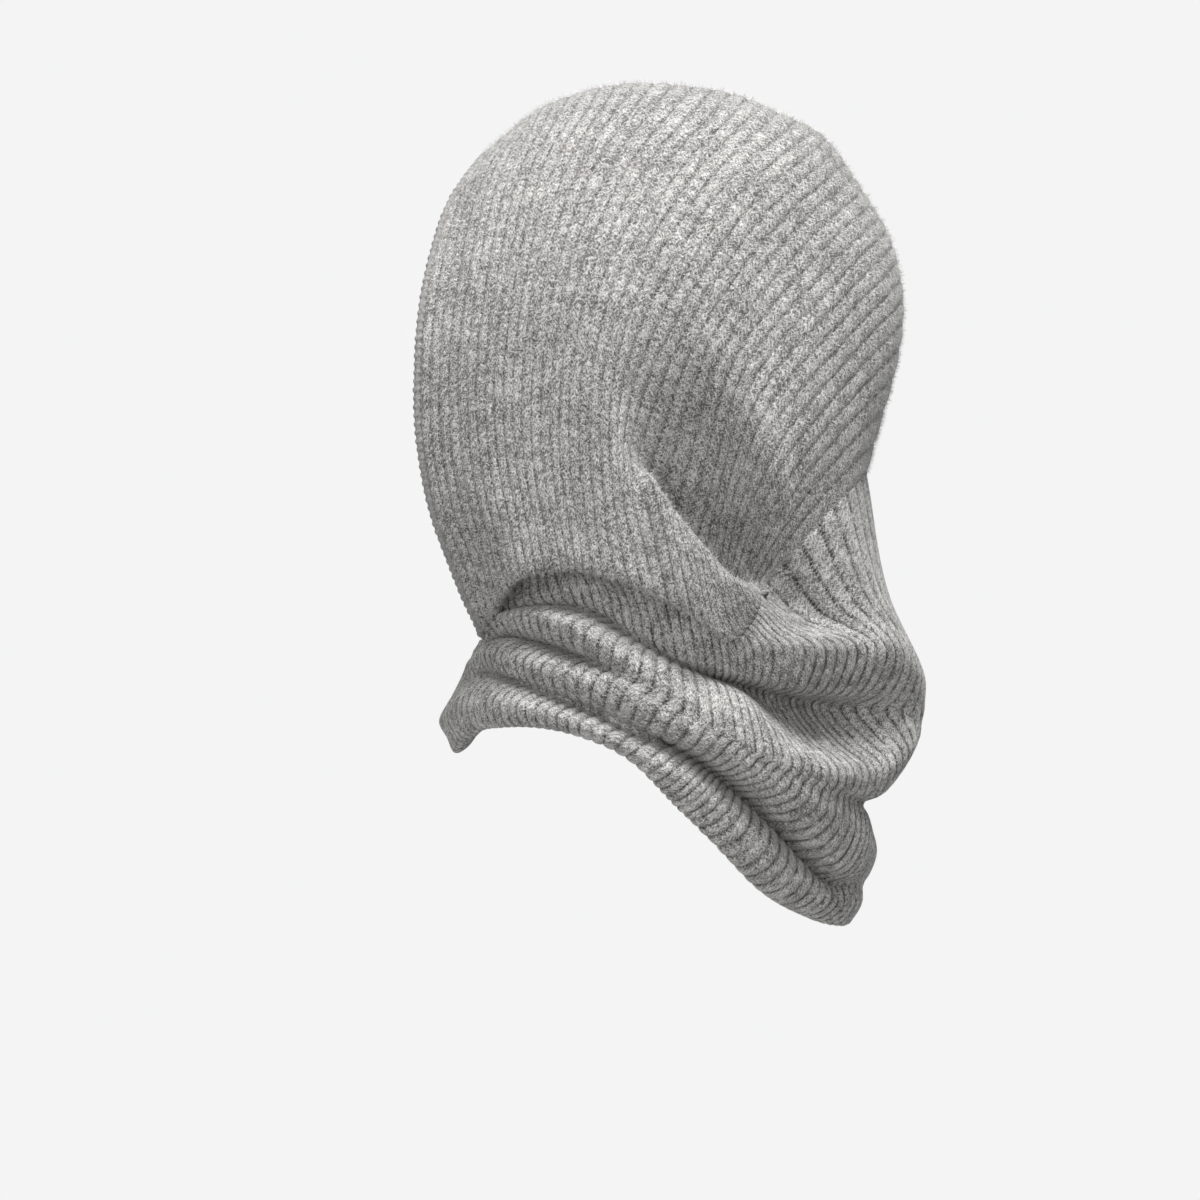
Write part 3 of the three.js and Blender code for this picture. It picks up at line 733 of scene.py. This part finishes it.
def new_tree(name: str, inputs: Sequence[tuple[str, str, Any]]) -> tuple[bpy.types.NodeTree, bpy.types.Node]:
    """Geometry tree with a geometry input, named inputs for its sizes, and one for its material.

    Args:
        name: the tree's name.
        inputs: (name, socket type, default) for each size.

    Returns:
        The tree, with its interface made, and its input node.
    """
    tree = bpy.data.node_groups.new(name, "GeometryNodeTree")
    tree.interface.new_socket("Geometry", in_out="INPUT", socket_type="NodeSocketGeometry")
    for label, kind, default in (*inputs, ("Material", "NodeSocketMaterial", None)):
        socket = tree.interface.new_socket(label, in_out="INPUT", socket_type=kind)
        if default is not None:
            socket.default_value = default
    tree.interface.new_socket("Geometry", in_out="OUTPUT", socket_type="NodeSocketGeometry")
    return tree, add_node(tree, "NodeGroupInput")


def end_tree(tree: bpy.types.NodeTree, start: bpy.types.Node, geometry: Any) -> bpy.types.NodeTree:
    """Make a tree's result real, give it its material and put it out."""
    real = add_node(tree, "GeometryNodeRealizeInstances", geometry)
    dressed = add_node(tree, "GeometryNodeSetMaterial", real, Material=start.outputs["Material"])
    add_node(tree, "NodeGroupOutput", dressed)
    return tree


def grown(obj: bpy.types.Object, tree: bpy.types.NodeTree, sizes: dict[str, Any],
          name: str) -> bpy.types.Object:
    """Plain mesh that a tree makes from an object.

    Args:
        obj: what the tree starts from; it is removed.
        tree: the geometry tree.
        sizes: values of its named inputs.
        name: the new piece's name.

    Returns:
        The new object, without a modifier.
    """
    modifier = obj.modifiers.new(tree.name, "NODES")
    modifier.node_group = tree
    ids = {item.name: item.identifier for item in tree.interface.items_tree if item.in_out == "INPUT"}
    for label, value in sizes.items():
        modifier[ids[label]] = value
    graph = bpy.context.evaluated_depsgraph_get()
    graph.update()
    mesh = bpy.data.meshes.new_from_object(obj.evaluated_get(graph), preserve_all_data_layers=True,
                                           depsgraph=graph)
    mesh.name = name
    obj.modifiers.remove(modifier)
    old = obj.data
    bpy.data.objects.remove(obj)
    if old.users == 0:
        bpy.data.meshes.remove(old)
    piece = bpy.data.objects.new(name, mesh)
    bpy.context.scene.collection.objects.link(piece)
    mesh.shade_smooth()
    return piece


def rib_relief_tree() -> bpy.types.NodeTree:
    """Tree that raises rounded ribs out of a smooth cloth by its rib count."""
    tree, start = new_tree("Rib relief", [
        ("Height", "NodeSocketFloat", 0.0013),
        ("Inside share", "NodeSocketFloat", 0.5),
    ])
    add = partial(add_node, tree)
    rib, outside = (add(READ, name, data_type="FLOAT") for name in ("rib_at", "outside"))
    way = add(READ, "way_out", data_type="FLOAT_VECTOR")
    side = add(MATH, add(MATH, rib, operation="FRACT"), 0.5, operation="SUBTRACT")
    side = add(MATH, add(MATH, side, operation="ABSOLUTE"), 2.0, operation="MULTIPLY")
    turned = add(MATH, 1.0, side, operation="SUBTRACT")  # inside, a rib is a groove
    chosen = add("ShaderNodeMix", outside, None, turned, side, data_type="FLOAT")
    arch = add(MATH, 1.0, add(MATH, chosen, chosen, operation="MULTIPLY"), operation="SUBTRACT")
    arch = add(MATH, add(MATH, arch, 0.0, operation="MAXIMUM"), ARCH_POWER, operation="POWER")
    arch = add(MATH, arch, ARCH_LEVEL, operation="SUBTRACT")
    share = add("ShaderNodeMix", outside, None, start.outputs["Inside share"], 1.0, data_type="FLOAT")
    lift = add(MATH, add(MATH, arch, start.outputs["Height"], operation="MULTIPLY"), share,
               operation="MULTIPLY")
    offset = add(VECTOR, way, Scale=lift, operation="SCALE")
    return end_tree(tree, start, add("GeometryNodeSetPosition", start, Offset=offset))


def fibre_tree() -> bpy.types.NodeTree:
    """Tree that leaves only short loose fibres on the outside of a cloth."""
    tree, start = new_tree("Loose fibres", [
        ("Density", "NodeSocketFloat", 300000.0),
        ("Length", "NodeSocketFloat", 0.003),
        ("Seed", "NodeSocketInt", 3),
        ("Fibre", "NodeSocketObject", None),
    ])
    add = partial(add_node, tree)
    seed = start.outputs["Seed"]
    outside = add("FunctionNodeCompare", add(READ, "outside", data_type="FLOAT"), 0.5, data_type="FLOAT",
                  operation="GREATER_THAN")
    points = add("GeometryNodeDistributePointsOnFaces", start, outside, Density=start.outputs["Density"],
                 Seed=seed, distribute_method="RANDOM")
    lean = add(RANDOM, (FIBRE_LEAN[0], 0.0, -HALF_TURN), (FIBRE_LEAN[1], 0.0, HALF_TURN), Seed=seed,
               data_type="FLOAT_VECTOR")
    size = add(RANDOM, None, None, *FIBRE_SIZES, Seed=seed, data_type="FLOAT").outputs[1]
    size = add(MATH, size, start.outputs["Length"], operation="MULTIPLY")
    shape = add("GeometryNodeObjectInfo", start.outputs["Fibre"]).outputs["Geometry"]
    turned = add(TURN, points.outputs["Rotation"], lean, rotation_space="LOCAL")
    return end_tree(tree, start, add("GeometryNodeInstanceOnPoints", points, Instance=shape, Rotation=turned,
                                     Scale=size))


def along_tree() -> bpy.types.NodeTree:
    """Tree that sets a stitch shape at even steps along a line, turned with the line and the cloth."""
    tree, start = new_tree("Stitches along a line", [
        ("Step", "NodeSocketFloat", 0.003),
        ("Slant", "NodeSocketFloat", 0.3),
        ("Jitter", "NodeSocketFloat", 0.08),
        ("Seed", "NodeSocketInt", 5),
        ("Stitch", "NodeSocketObject", None),
    ])
    add = partial(add_node, tree)
    points = add("GeometryNodeCurveToPoints", add("GeometryNodeMeshToCurve", start), mode="LENGTH",
                 Length=start.outputs["Step"])
    frame_turn = add("FunctionNodeAxesToRotation", add(READ, "way_out", data_type="FLOAT_VECTOR"),
                     points.outputs["Tangent"], primary_axis="Z", secondary_axis="X")
    spread = add(RANDOM, None, None, -1.0, 1.0, Seed=start.outputs["Seed"], data_type="FLOAT").outputs[1]
    angle = add(MATH, spread, start.outputs["Jitter"], start.outputs["Slant"], operation="MULTIPLY_ADD")
    own_turn = add("FunctionNodeAxisAngleToRotation", (0, 0, 1), angle)
    turned = add(TURN, frame_turn, own_turn, rotation_space="LOCAL")
    size = add(MATH, spread, SIZE_SPREAD, 1.0, operation="MULTIPLY_ADD")
    shape = add("GeometryNodeObjectInfo", start.outputs["Stitch"]).outputs["Geometry"]
    return end_tree(tree, start, add("GeometryNodeInstanceOnPoints", points, Instance=shape, Rotation=turned,
                                     Scale=size))


@dataclass
class Knitwear:
    """The two cloths: head panel and neck, made from one form so that their ribs run on."""

    form: ClothForm = field(default_factory=ClothForm)
    across: int = 8  # columns of the mesh to a rib
    panel_steps: int = 40  # points in each span of a rib line, before they are spread evenly
    neck_steps: int = 24
    panel_rows: int = 236
    neck_rows: int = 85
    wall: float = 3.6
    panel_relief: float = 0.74
    neck_relief: float = 0.9
    stitch: float = 2.9  # height of one stitch
    uneven: float = 0.35  # how far the cloth wanders, and over what length
    uneven_length: float = 46.0
    seed: int = 11

    def panel_sheet(self) -> Sheet:
        """Outside of the head panel."""
        form = self.form
        ribs = np.arange(form.side_ribs * self.across + 1) / self.across
        panel = form.panel_controls(ribs)
        below = form.neck_controls(ribs + form.chin_ribs)[:, 1]
        controls = np.concatenate([below[:, None], panel, (below * MIRROR)[:, None]], axis=1)
        lines = dense(controls, self.panel_steps, 1, controls.shape[1] - 2)
        points, length = even_rows(lines, self.panel_rows)
        points = self.unevened(points)
        out = ways_out(points, False)
        share = np.linspace(-0.5, 0.5, self.panel_rows)
        stitch = share[None, :] * length[:, None] / self.stitch
        rib = np.repeat(ribs[:, None] + form.chin_ribs, self.panel_rows, axis=1)
        return Sheet(points, out, rib, stitch)

    def neck_sheet(self) -> Sheet:
        """Outside of the neck, all the way round from the chin by the wearer's left."""
        form = self.form
        columns = np.arange(form.half * self.across + 1) / self.across
        controls = form.neck_controls(columns)
        ghost = 2 * controls[:, 0] - controls[:, 1]
        side = (columns >= form.chin_ribs) & (columns <= form.side_to)
        panel = form.panel_controls(np.clip(columns - form.chin_ribs, 0, form.side_ribs))
        ghost[side] = panel[side, 1]
        controls = np.concatenate([ghost[:, None], controls], axis=1)
        lines = dense(controls, self.neck_steps, 1)
        points, length = even_rows(lines, self.neck_rows)
        whole = dense(np.concatenate([controls[:, :1], panel], axis=1), self.panel_steps, 1)
        half_length = np.linalg.norm(np.diff(whole, axis=1), axis=-1).sum(1) / 2
        start = np.where(side, -half_length, 0.0)
        share = np.linspace(0, 1, self.neck_rows)
        stitch = (start[:, None] - share[None, :] * length[:, None]) / self.stitch
        rib = np.repeat(columns[:, None], self.neck_rows, axis=1)
        points = np.concatenate([points, points[-2:0:-1] * MIRROR], axis=0)
        rib = np.concatenate([rib, 2 * form.half - rib[-2:0:-1]], axis=0)
        stitch = np.concatenate([stitch, stitch[-2:0:-1]], axis=0)
        points = self.unevened(points)
        return Sheet(points, -ways_out(points, True), rib, stitch)

    def unevened(self, points: Array) -> Array:
        """Points moved by the slow unevenness of real cloth."""
        moves = [Wander(self.seed + axis, self.uneven_length)(points) for axis in range(3)]
        return points + np.stack(moves, axis=-1) * self.uneven

    def build(self, knits: Sequence[bpy.types.Material],
              rib_tree: bpy.types.NodeTree) -> list[bpy.types.Object]:
        """Both cloths with ribs raised and their knit maps made."""
        pieces = []
        walls = (
            (Wall("head_panel", self.panel_sheet(), self.wall, False, (2, 3)), self.panel_relief),
            (Wall("neck", self.neck_sheet(), self.wall, True, (4, 2)), self.neck_relief),
        )
        for (wall, relief), knit in zip(walls, knits):
            sizes = {"Height": relief * MM, "Inside share": 0.5, "Material": knit}
            piece = grown(wall.build(), rib_tree, sizes, wall.name)
            add_knit_map(piece)
            pieces.append(piece)
        return pieces


def add_knit_map(obj: bpy.types.Object) -> None:
    """Write the UV map that counts ribs across and stitches along."""
    mesh = obj.data
    rib = np.empty(len(mesh.vertices), np.float32)
    stitch = np.empty(len(mesh.vertices), np.float32)
    mesh.attributes["rib_at"].data.foreach_get("value", rib)
    mesh.attributes["stitch_at"].data.foreach_get("value", stitch)
    loops = np.empty(len(mesh.loops), np.int32)
    mesh.loops.foreach_get("vertex_index", loops)
    u, v = rib[loops], stitch[loops]
    starts = np.empty(len(mesh.polygons), np.int32)
    totals = np.empty(len(mesh.polygons), np.int32)
    mesh.polygons.foreach_get("loop_start", starts)
    mesh.polygons.foreach_get("loop_total", totals)
    top = np.maximum.reduceat(u, starts)
    face = np.repeat(np.arange(len(starts)), totals)
    far = (top[face] - u) > 40  # the last strip, where the count starts again
    u = np.where(far, u + round(float(top.max()) + 0.5), u)
    layer = mesh.uv_layers.new(name="Knit")
    layer.data.foreach_set("uv", np.stack([u, v], axis=1).ravel())


def loop_shape(name: str, size: Place, faces: tuple[int, int], pinch: float) -> bpy.types.Object:
    """Low bead of yarn: an ellipsoid with a waist, its Z out of the cloth.

    Args:
        name: object name.
        size: full sizes along X, Y and Z in mm.
        faces: faces round and from end to end.
        pinch: how much the middle is drawn in.

    Returns:
        The shape's object, not shown.
    """
    around, rows = faces
    verts = [(0.0, -size[1] / 2, 0.0)]
    for j in range(1, rows):
        t = math.pi * j / rows
        y = -math.cos(t) * size[1] / 2
        r = math.sin(t) ** 0.8 * (1 - pinch * math.exp(-(y / (size[1] * 0.18)) ** 2))
        for i in range(around):
            a = 2 * math.pi * i / around
            verts.append((math.cos(a) * r * size[0] / 2, y, math.sin(a) * r * size[2] / 2))
    verts.append((0.0, size[1] / 2, 0.0))
    out = []
    for i in range(around):
        k = (i + 1) % around
        out.append([0, 1 + i, 1 + k])
        for j in range(rows - 2):
            a, b = 1 + j * around, 1 + (j + 1) * around
            out.append([a + i, b + i, b + k, a + k])
        a = 1 + (rows - 2) * around
        out.append([a + i, len(verts) - 1, a + k])
    obj = new_object(name, np.array(verts) * MM, out)
    obj.hide_render = True
    return obj


def guide_curve(name: str, points: Array, ways: Array, closed: bool) -> bpy.types.Object:
    """Mesh line that a tree turns into a curve, with the way out of the cloth on each point."""
    n = len(points)
    edges = [(i, (i + 1) % n) for i in range(n if closed else n - 1)]
    mesh = bpy.data.meshes.new(name)
    mesh.from_pydata([tuple(p) for p in points * MM], edges, [])
    obj = bpy.data.objects.new(name, mesh)
    bpy.context.scene.collection.objects.link(obj)
    put_attribute(obj, "way_out", "FLOAT_VECTOR", ways)
    return obj


def bar(name: str, middle: Array, ways: Array, size: tuple[float, float], closed: bool,
        sides: int = 10) -> bpy.types.Object:
    """Bar with an oval section along a line.

    Args:
        name: object name.
        middle: the line in mm, (N, 3).
        ways: way out of the cloth at each point, (N, 3).
        size: width along the cloth and depth through it in mm.
        closed: whether it is a ring.
        sides: faces round.

    Returns:
        The bar's object, with closed ends where it isn't a ring.
    """
    if closed:
        tangent = unit(np.roll(middle, -1, 0) - np.roll(middle, 1, 0))
    else:
        tangent = unit(np.gradient(middle, axis=0))
    wide = unit(np.cross(ways, tangent))
    deep = unit(np.cross(tangent, wide))
    turn = 2 * np.pi * np.arange(sides) / sides
    ring = (wide[:, None] * np.cos(turn)[None, :, None] * size[0] / 2
            + deep[:, None] * np.sin(turn)[None, :, None] * size[1] / 2)
    verts = (middle[:, None] + ring).reshape(-1, 3) * MM
    count = len(middle)
    faces = []
    for i in range(count if closed else count - 1):
        a, b = i * sides, (i + 1) % count * sides
        faces += [[a + j, a + (j + 1) % sides, b + (j + 1) % sides, b + j] for j in range(sides)]
    if not closed:
        faces += [list(range(sides))[::-1], [(count - 1) * sides + j for j in range(sides)]]
    return new_object(name, verts, faces)


@dataclass(frozen=True)
class StitchedLine:
    """Slanted stitches of yarn side by side on a core."""

    name: str
    seed: int
    step: float
    slant: float  # in radians, and how much it varies
    jitter: float
    core: tuple[float, float]  # width and depth
    core_sides: int
    stitch: Place
    stitch_faces: tuple[int, int]
    pinch: float = 0.0
    lift: float = 0.0  # of the stitches over the core
    closed: bool = False

    def build(self, middle: Array, ways: Array, yarn: bpy.types.Material,
              tree: bpy.types.NodeTree) -> list[bpy.types.Object]:
        """Core and stitches.

        Args:
            middle: middle line of the core in mm, (N, 3).
            ways: way out of the cloth at each point, (N, 3).
            yarn: finish of both pieces.
            tree: tree that sets shapes along a line.

        Returns:
            The core and the stitches.
        """
        core = bar(f"{self.name}_core", middle, ways, self.core, self.closed, self.core_sides)
        core.data.materials.append(yarn)
        stitch = loop_shape(f"{self.name}_stitch", self.stitch, self.stitch_faces, self.pinch)
        guide = guide_curve(f"{self.name}_guide", middle + ways * self.lift, ways, self.closed)
        sizes = {"Step": self.step * MM, "Slant": self.slant, "Jitter": self.jitter, "Seed": self.seed,
                 "Stitch": stitch, "Material": yarn}
        stitches = grown(guide, tree, sizes, f"{self.name}_stitches")
        bpy.data.objects.remove(stitch)
        return [core, stitches]


@dataclass
class FaceEdge:
    """The tight knitted edge round the face: slanted beads of yarn on a core."""

    form: ClothForm
    width: float = 4.2
    step: float = 3.8
    depth: float = 4.6
    sink: float = 1.9
    points: int = 240
    smoothing: int = 5

    def line(self, panel: Sheet, neck: Sheet, across: int) -> tuple[Array, Array]:
        """Middle line of the edge and its ways out.

        Args:
            panel: outside of the head panel.
            neck: outside of the neck.
            across: columns to a rib.

        Returns:
            Points in mm and unit vectors of a closed loop, (N, 3) each.
        """
        chin = self.form.chin_ribs * across
        top = np.concatenate([neck.points[-chin:, 0], neck.points[:chin + 1, 0]])
        top_out = np.concatenate([neck.out[-chin:, 1], neck.out[:chin + 1, 1]])
        points = np.concatenate([panel.points[0, 1:-1], top])
        ways = np.concatenate([panel.out[0, 1:-1], top_out])
        steps = np.linalg.norm(np.roll(points, -1, axis=0) - points, axis=1)
        length = np.concatenate([[0], np.cumsum(steps)])
        at = (np.arange(self.points) + 0.5) / self.points * length[-1]
        loop = np.concatenate([points, points[:1]])
        outs = np.concatenate([ways, ways[:1]])
        points = np.stack([np.interp(at, length, loop[:, c]) for c in range(3)], axis=1)
        ways = np.stack([np.interp(at, length, outs[:, c]) for c in range(3)], axis=1)
        for _ in range(self.smoothing):
            points = (np.roll(points, 1, 0) + 2 * points + np.roll(points, -1, 0)) / 4
            ways = (np.roll(ways, 1, 0) + 2 * ways + np.roll(ways, -1, 0)) / 4
        ways = unit(ways)
        tangent = unit(np.roll(points, -1, 0) - np.roll(points, 1, 0))
        band = unit(np.cross(ways, tangent))
        return points + band * (self.width / 2 - 0.2) - ways * self.sink, unit(np.cross(tangent, band))

    def build(self, panel: Sheet, neck: Sheet, across: int, yarn: bpy.types.Material,
              tree: bpy.types.NodeTree) -> list[bpy.types.Object]:
        """Core and beads of the edge; the beads press on each other, so each is wider than its step."""
        edge = StitchedLine("face_edge", 5, self.step, 0.5, 0.16, (self.width * 0.84, self.depth * 0.84), 10,
                            (self.step * 1.12, self.width * 1.08, self.depth), (10, 8), 0.08, closed=True)
        return edge.build(*self.line(panel, neck, across), yarn, tree)


@dataclass
class BackSeam:
    """The linked stitches between the head panel's back edge and the neck."""

    line: StitchedLine = StitchedLine("back_seam", 8, 2.9, 0.7, 0.14, (1.5, 1.5), 8, (1.5, 4.6, 1.6), (8, 6),
                                      lift=0.1)
    sink: float = 0.5

    def build(self, panel: Sheet, yarn: bpy.types.Material,
              tree: bpy.types.NodeTree) -> list[bpy.types.Object]:
        """Core and stitches along the panel's back edge."""
        points, ways = panel.points[-1, 1:-1:2], panel.out[-1, 1:-1:2]
        return self.line.build(points - ways * self.sink, ways, yarn, tree)


@dataclass
class Fuzz:
    """Loose wool fibres that stand out of the brushed knit."""

    density: float = 455000.0
    length: float = 3.4
    width: float = 0.2

    def fibre(self) -> bpy.types.Object:
        """One bent fibre of three faces, one long."""
        w = self.width / self.length / 2
        verts = [(-w, 0, -0.05), (w, 0, -0.05), (w * 0.8, 0.08, 0.45), (-w * 0.8, 0.08, 0.45), (0, 0.3, 0.95)]
        obj = new_object("fibre", np.array(verts), [[0, 1, 2, 3], [3, 2, 4]])
        obj.hide_render = True
        return obj

    def build(self, cloth: bpy.types.Object, name: str, seed: int, yarn: bpy.types.Material,
              tree: bpy.types.NodeTree) -> bpy.types.Object:
        """Fibres over the outside of a cloth."""
        copy = bpy.data.objects.new(f"{name}_base", cloth.data.copy())
        bpy.context.scene.collection.objects.link(copy)
        fibre = self.fibre()
        fuzz = grown(copy, tree, {"Density": self.density, "Length": self.length * MM, "Seed": seed,
                                  "Fibre": fibre, "Material": yarn}, name)
        bpy.data.objects.remove(fibre)
        return fuzz


@dataclass(frozen=True)
class Studio:
    """Pale floor, soft light from above, a weak one low in front, and a long lens at the left side."""

    distance: float = 4.0
    frame_width: float = 0.540
    look_at: Place = (0.0, -0.027, -0.2286)
    floor_at: float = -0.9
    floor_round: float = 0.7
    above: float = 0.5
    below: float = 0.2
    front: float = 0.45
    wall: float = 0.905
    key_at: Place = (0.72, 0.2, 1.42)
    key_size: float = 0.9
    key_power: float = 37.5
    low_at: Place = (1.25, -0.5, -0.15)
    low_size: float = 1.0
    low_power: float = 7.5

    def camera(self) -> None:
        """Camera at the height of the hood's middle, looking at its left side."""
        data = bpy.data.cameras.new("camera")
        data.sensor_width = 36.0
        data.lens = 36.0 * self.distance / self.frame_width
        data.clip_end = 60.0
        obj = bpy.data.objects.new("camera", data)
        x, y, z = self.look_at
        obj.location = (x + self.distance, y, z)
        obj.rotation_euler = (math.pi / 2, 0.0, math.pi / 2)
        bpy.context.scene.collection.objects.link(obj)
        bpy.context.scene.camera = obj

    def floor(self) -> None:
        """Round pale floor under the hood: matt backdrop paper, which only throws light back."""
        count = 96
        ring = [(self.floor_round * math.cos(2 * math.pi * i / count),
                 self.floor_round * math.sin(2 * math.pi * i / count), self.floor_at) for i in range(count)]
        obj = new_object("floor", np.array(ring), [list(range(count))])
        material, tree = new_material("matt backdrop paper")
        shader = add_node(tree, "ShaderNodeBsdfPrincipled", linear("#cecece"), Roughness=0.9)
        add_node(tree, "ShaderNodeOutputMaterial", shader)
        obj.data.materials.append(material)

    def surroundings(self) -> None:
        """A studio round the hood: pale above, dim below, and a white wall behind it."""
        world = bpy.data.worlds.new("studio")
        bpy.context.scene.world = world
        world.use_nodes = True
        world.node_tree.nodes.clear()
        add = partial(add_node, world.node_tree)
        x, y, z = add("ShaderNodeSeparateXYZ", add("ShaderNodeTexCoord").outputs["Generated"]).outputs
        height, front, behind, over, under = (
            add(EASE, value, low, high, start, end, interpolation_type="SMOOTHSTEP")
            for value, low, high, start, end in (
                (z, -0.15, 0.25, self.below, self.above),
                (y, -0.8, 0.0, self.front, 1.0),
                (x, -0.1, -0.5, 0.0, 1.0),
                (z, -0.16, -0.09, 0.0, 1.0),
                (z, 0.5, 0.2, 0.0, 1.0)))
        room = add(MATH, height, front, operation="MULTIPLY")
        share = add(MATH, behind, add(MATH, over, under, operation="MULTIPLY"), operation="MULTIPLY")
        bright = add("ShaderNodeMix", share, None, room, self.wall, data_type="FLOAT")
        add("ShaderNodeOutputWorld", add("ShaderNodeBackground", (1.0, 1.0, 1.003, 1), bright))

    def light(self, name: str, at: Place, size: float, power: float) -> None:
        """Add a round soft light that looks at the hood."""
        data = bpy.data.lights.new(name, "AREA")
        data.shape = "DISK"
        data.size = size
        data.energy = power
        obj = bpy.data.objects.new(name, data)
        obj.location = at
        aim = Vector((0.0, 0.0, -0.18)) - Vector(at)
        obj.rotation_euler = aim.to_track_quat("-Z", "Y").to_euler()
        bpy.context.scene.collection.objects.link(obj)

    def build(self) -> None:
        """Set up everything that isn't the hood."""
        self.camera()
        self.floor()
        self.surroundings()
        self.light("top", self.key_at, self.key_size, self.key_power)
        self.light("low front", self.low_at, self.low_size, self.low_power)
        bpy.context.scene.view_settings.view_transform = "Standard"


def main() -> None:
    """Build the hood piece by piece and attach it to the root body."""
    logging.basicConfig(level=logging.INFO, format="%(name)s: %(message)s")
    Studio().build()
    brushed = HeatherKnit("brushed heather wool rib").make()
    # gathered rib springs open, so its lines of holes stay clear and wide, with deeper painted shade in them;
    # its tone is painted paler than the head panel's, as painted light on the same yarn
    open_rib = HeatherKnit("gathered heather wool rib", hole_shade_depth=0.92, felting=0.15, grain=0.85,
                           pale=0.56, groove_from=0.3).make()
    # tight stitches shade each other, so both of these yarns look darker than the cloth
    edge_yarn = YarnFinish("tight heather edge yarn", Yarn.DEEP, Yarn.MID).make()
    seam_yarn = YarnFinish("heather linking yarn", Yarn.DEEP, Yarn.MID).make()
    # single fibres catch the light, so they give the outline a pale down
    loose = YarnFinish("loose pale wool fibre", Yarn.LIGHT, Yarn.PALE).make()
    wear = Knitwear()
    along = along_tree()
    panel, neck = wear.build((brushed, open_rib), rib_relief_tree())
    panel_sheet, neck_sheet = wear.panel_sheet(), wear.neck_sheet()
    edge = FaceEdge(wear.form).build(panel_sheet, neck_sheet, wear.across, edge_yarn, along)
    seam = BackSeam().build(panel_sheet, seam_yarn, along)
    groups = {
        "hood": ("hood_knit", [panel]),
        "neck_cowl": ("neck_knit", [neck]),
        "face_edge": ("edge_knit", edge),
        "back_seam": ("seam_yarn", seam),
    }
    fibres = fibre_tree()
    groups["hood"][1].append(Fuzz().build(panel, "head_panel_fuzz", 3, loose, fibres))
    groups["neck_cowl"][1].append(Fuzz().build(neck, "neck_fuzz", 4, loose, fibres))
    for node, (slot, group) in groups.items():
        for obj in group:
            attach(obj, "root")
            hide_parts(node)
            log.info("%s: %d faces", obj.name, len(obj.data.polygons))
    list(edge)
    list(seam)
    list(groups["hood"][1][1:])
    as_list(groups["neck_cowl"][1][1:])


if __name__ == "__main__":
    main()
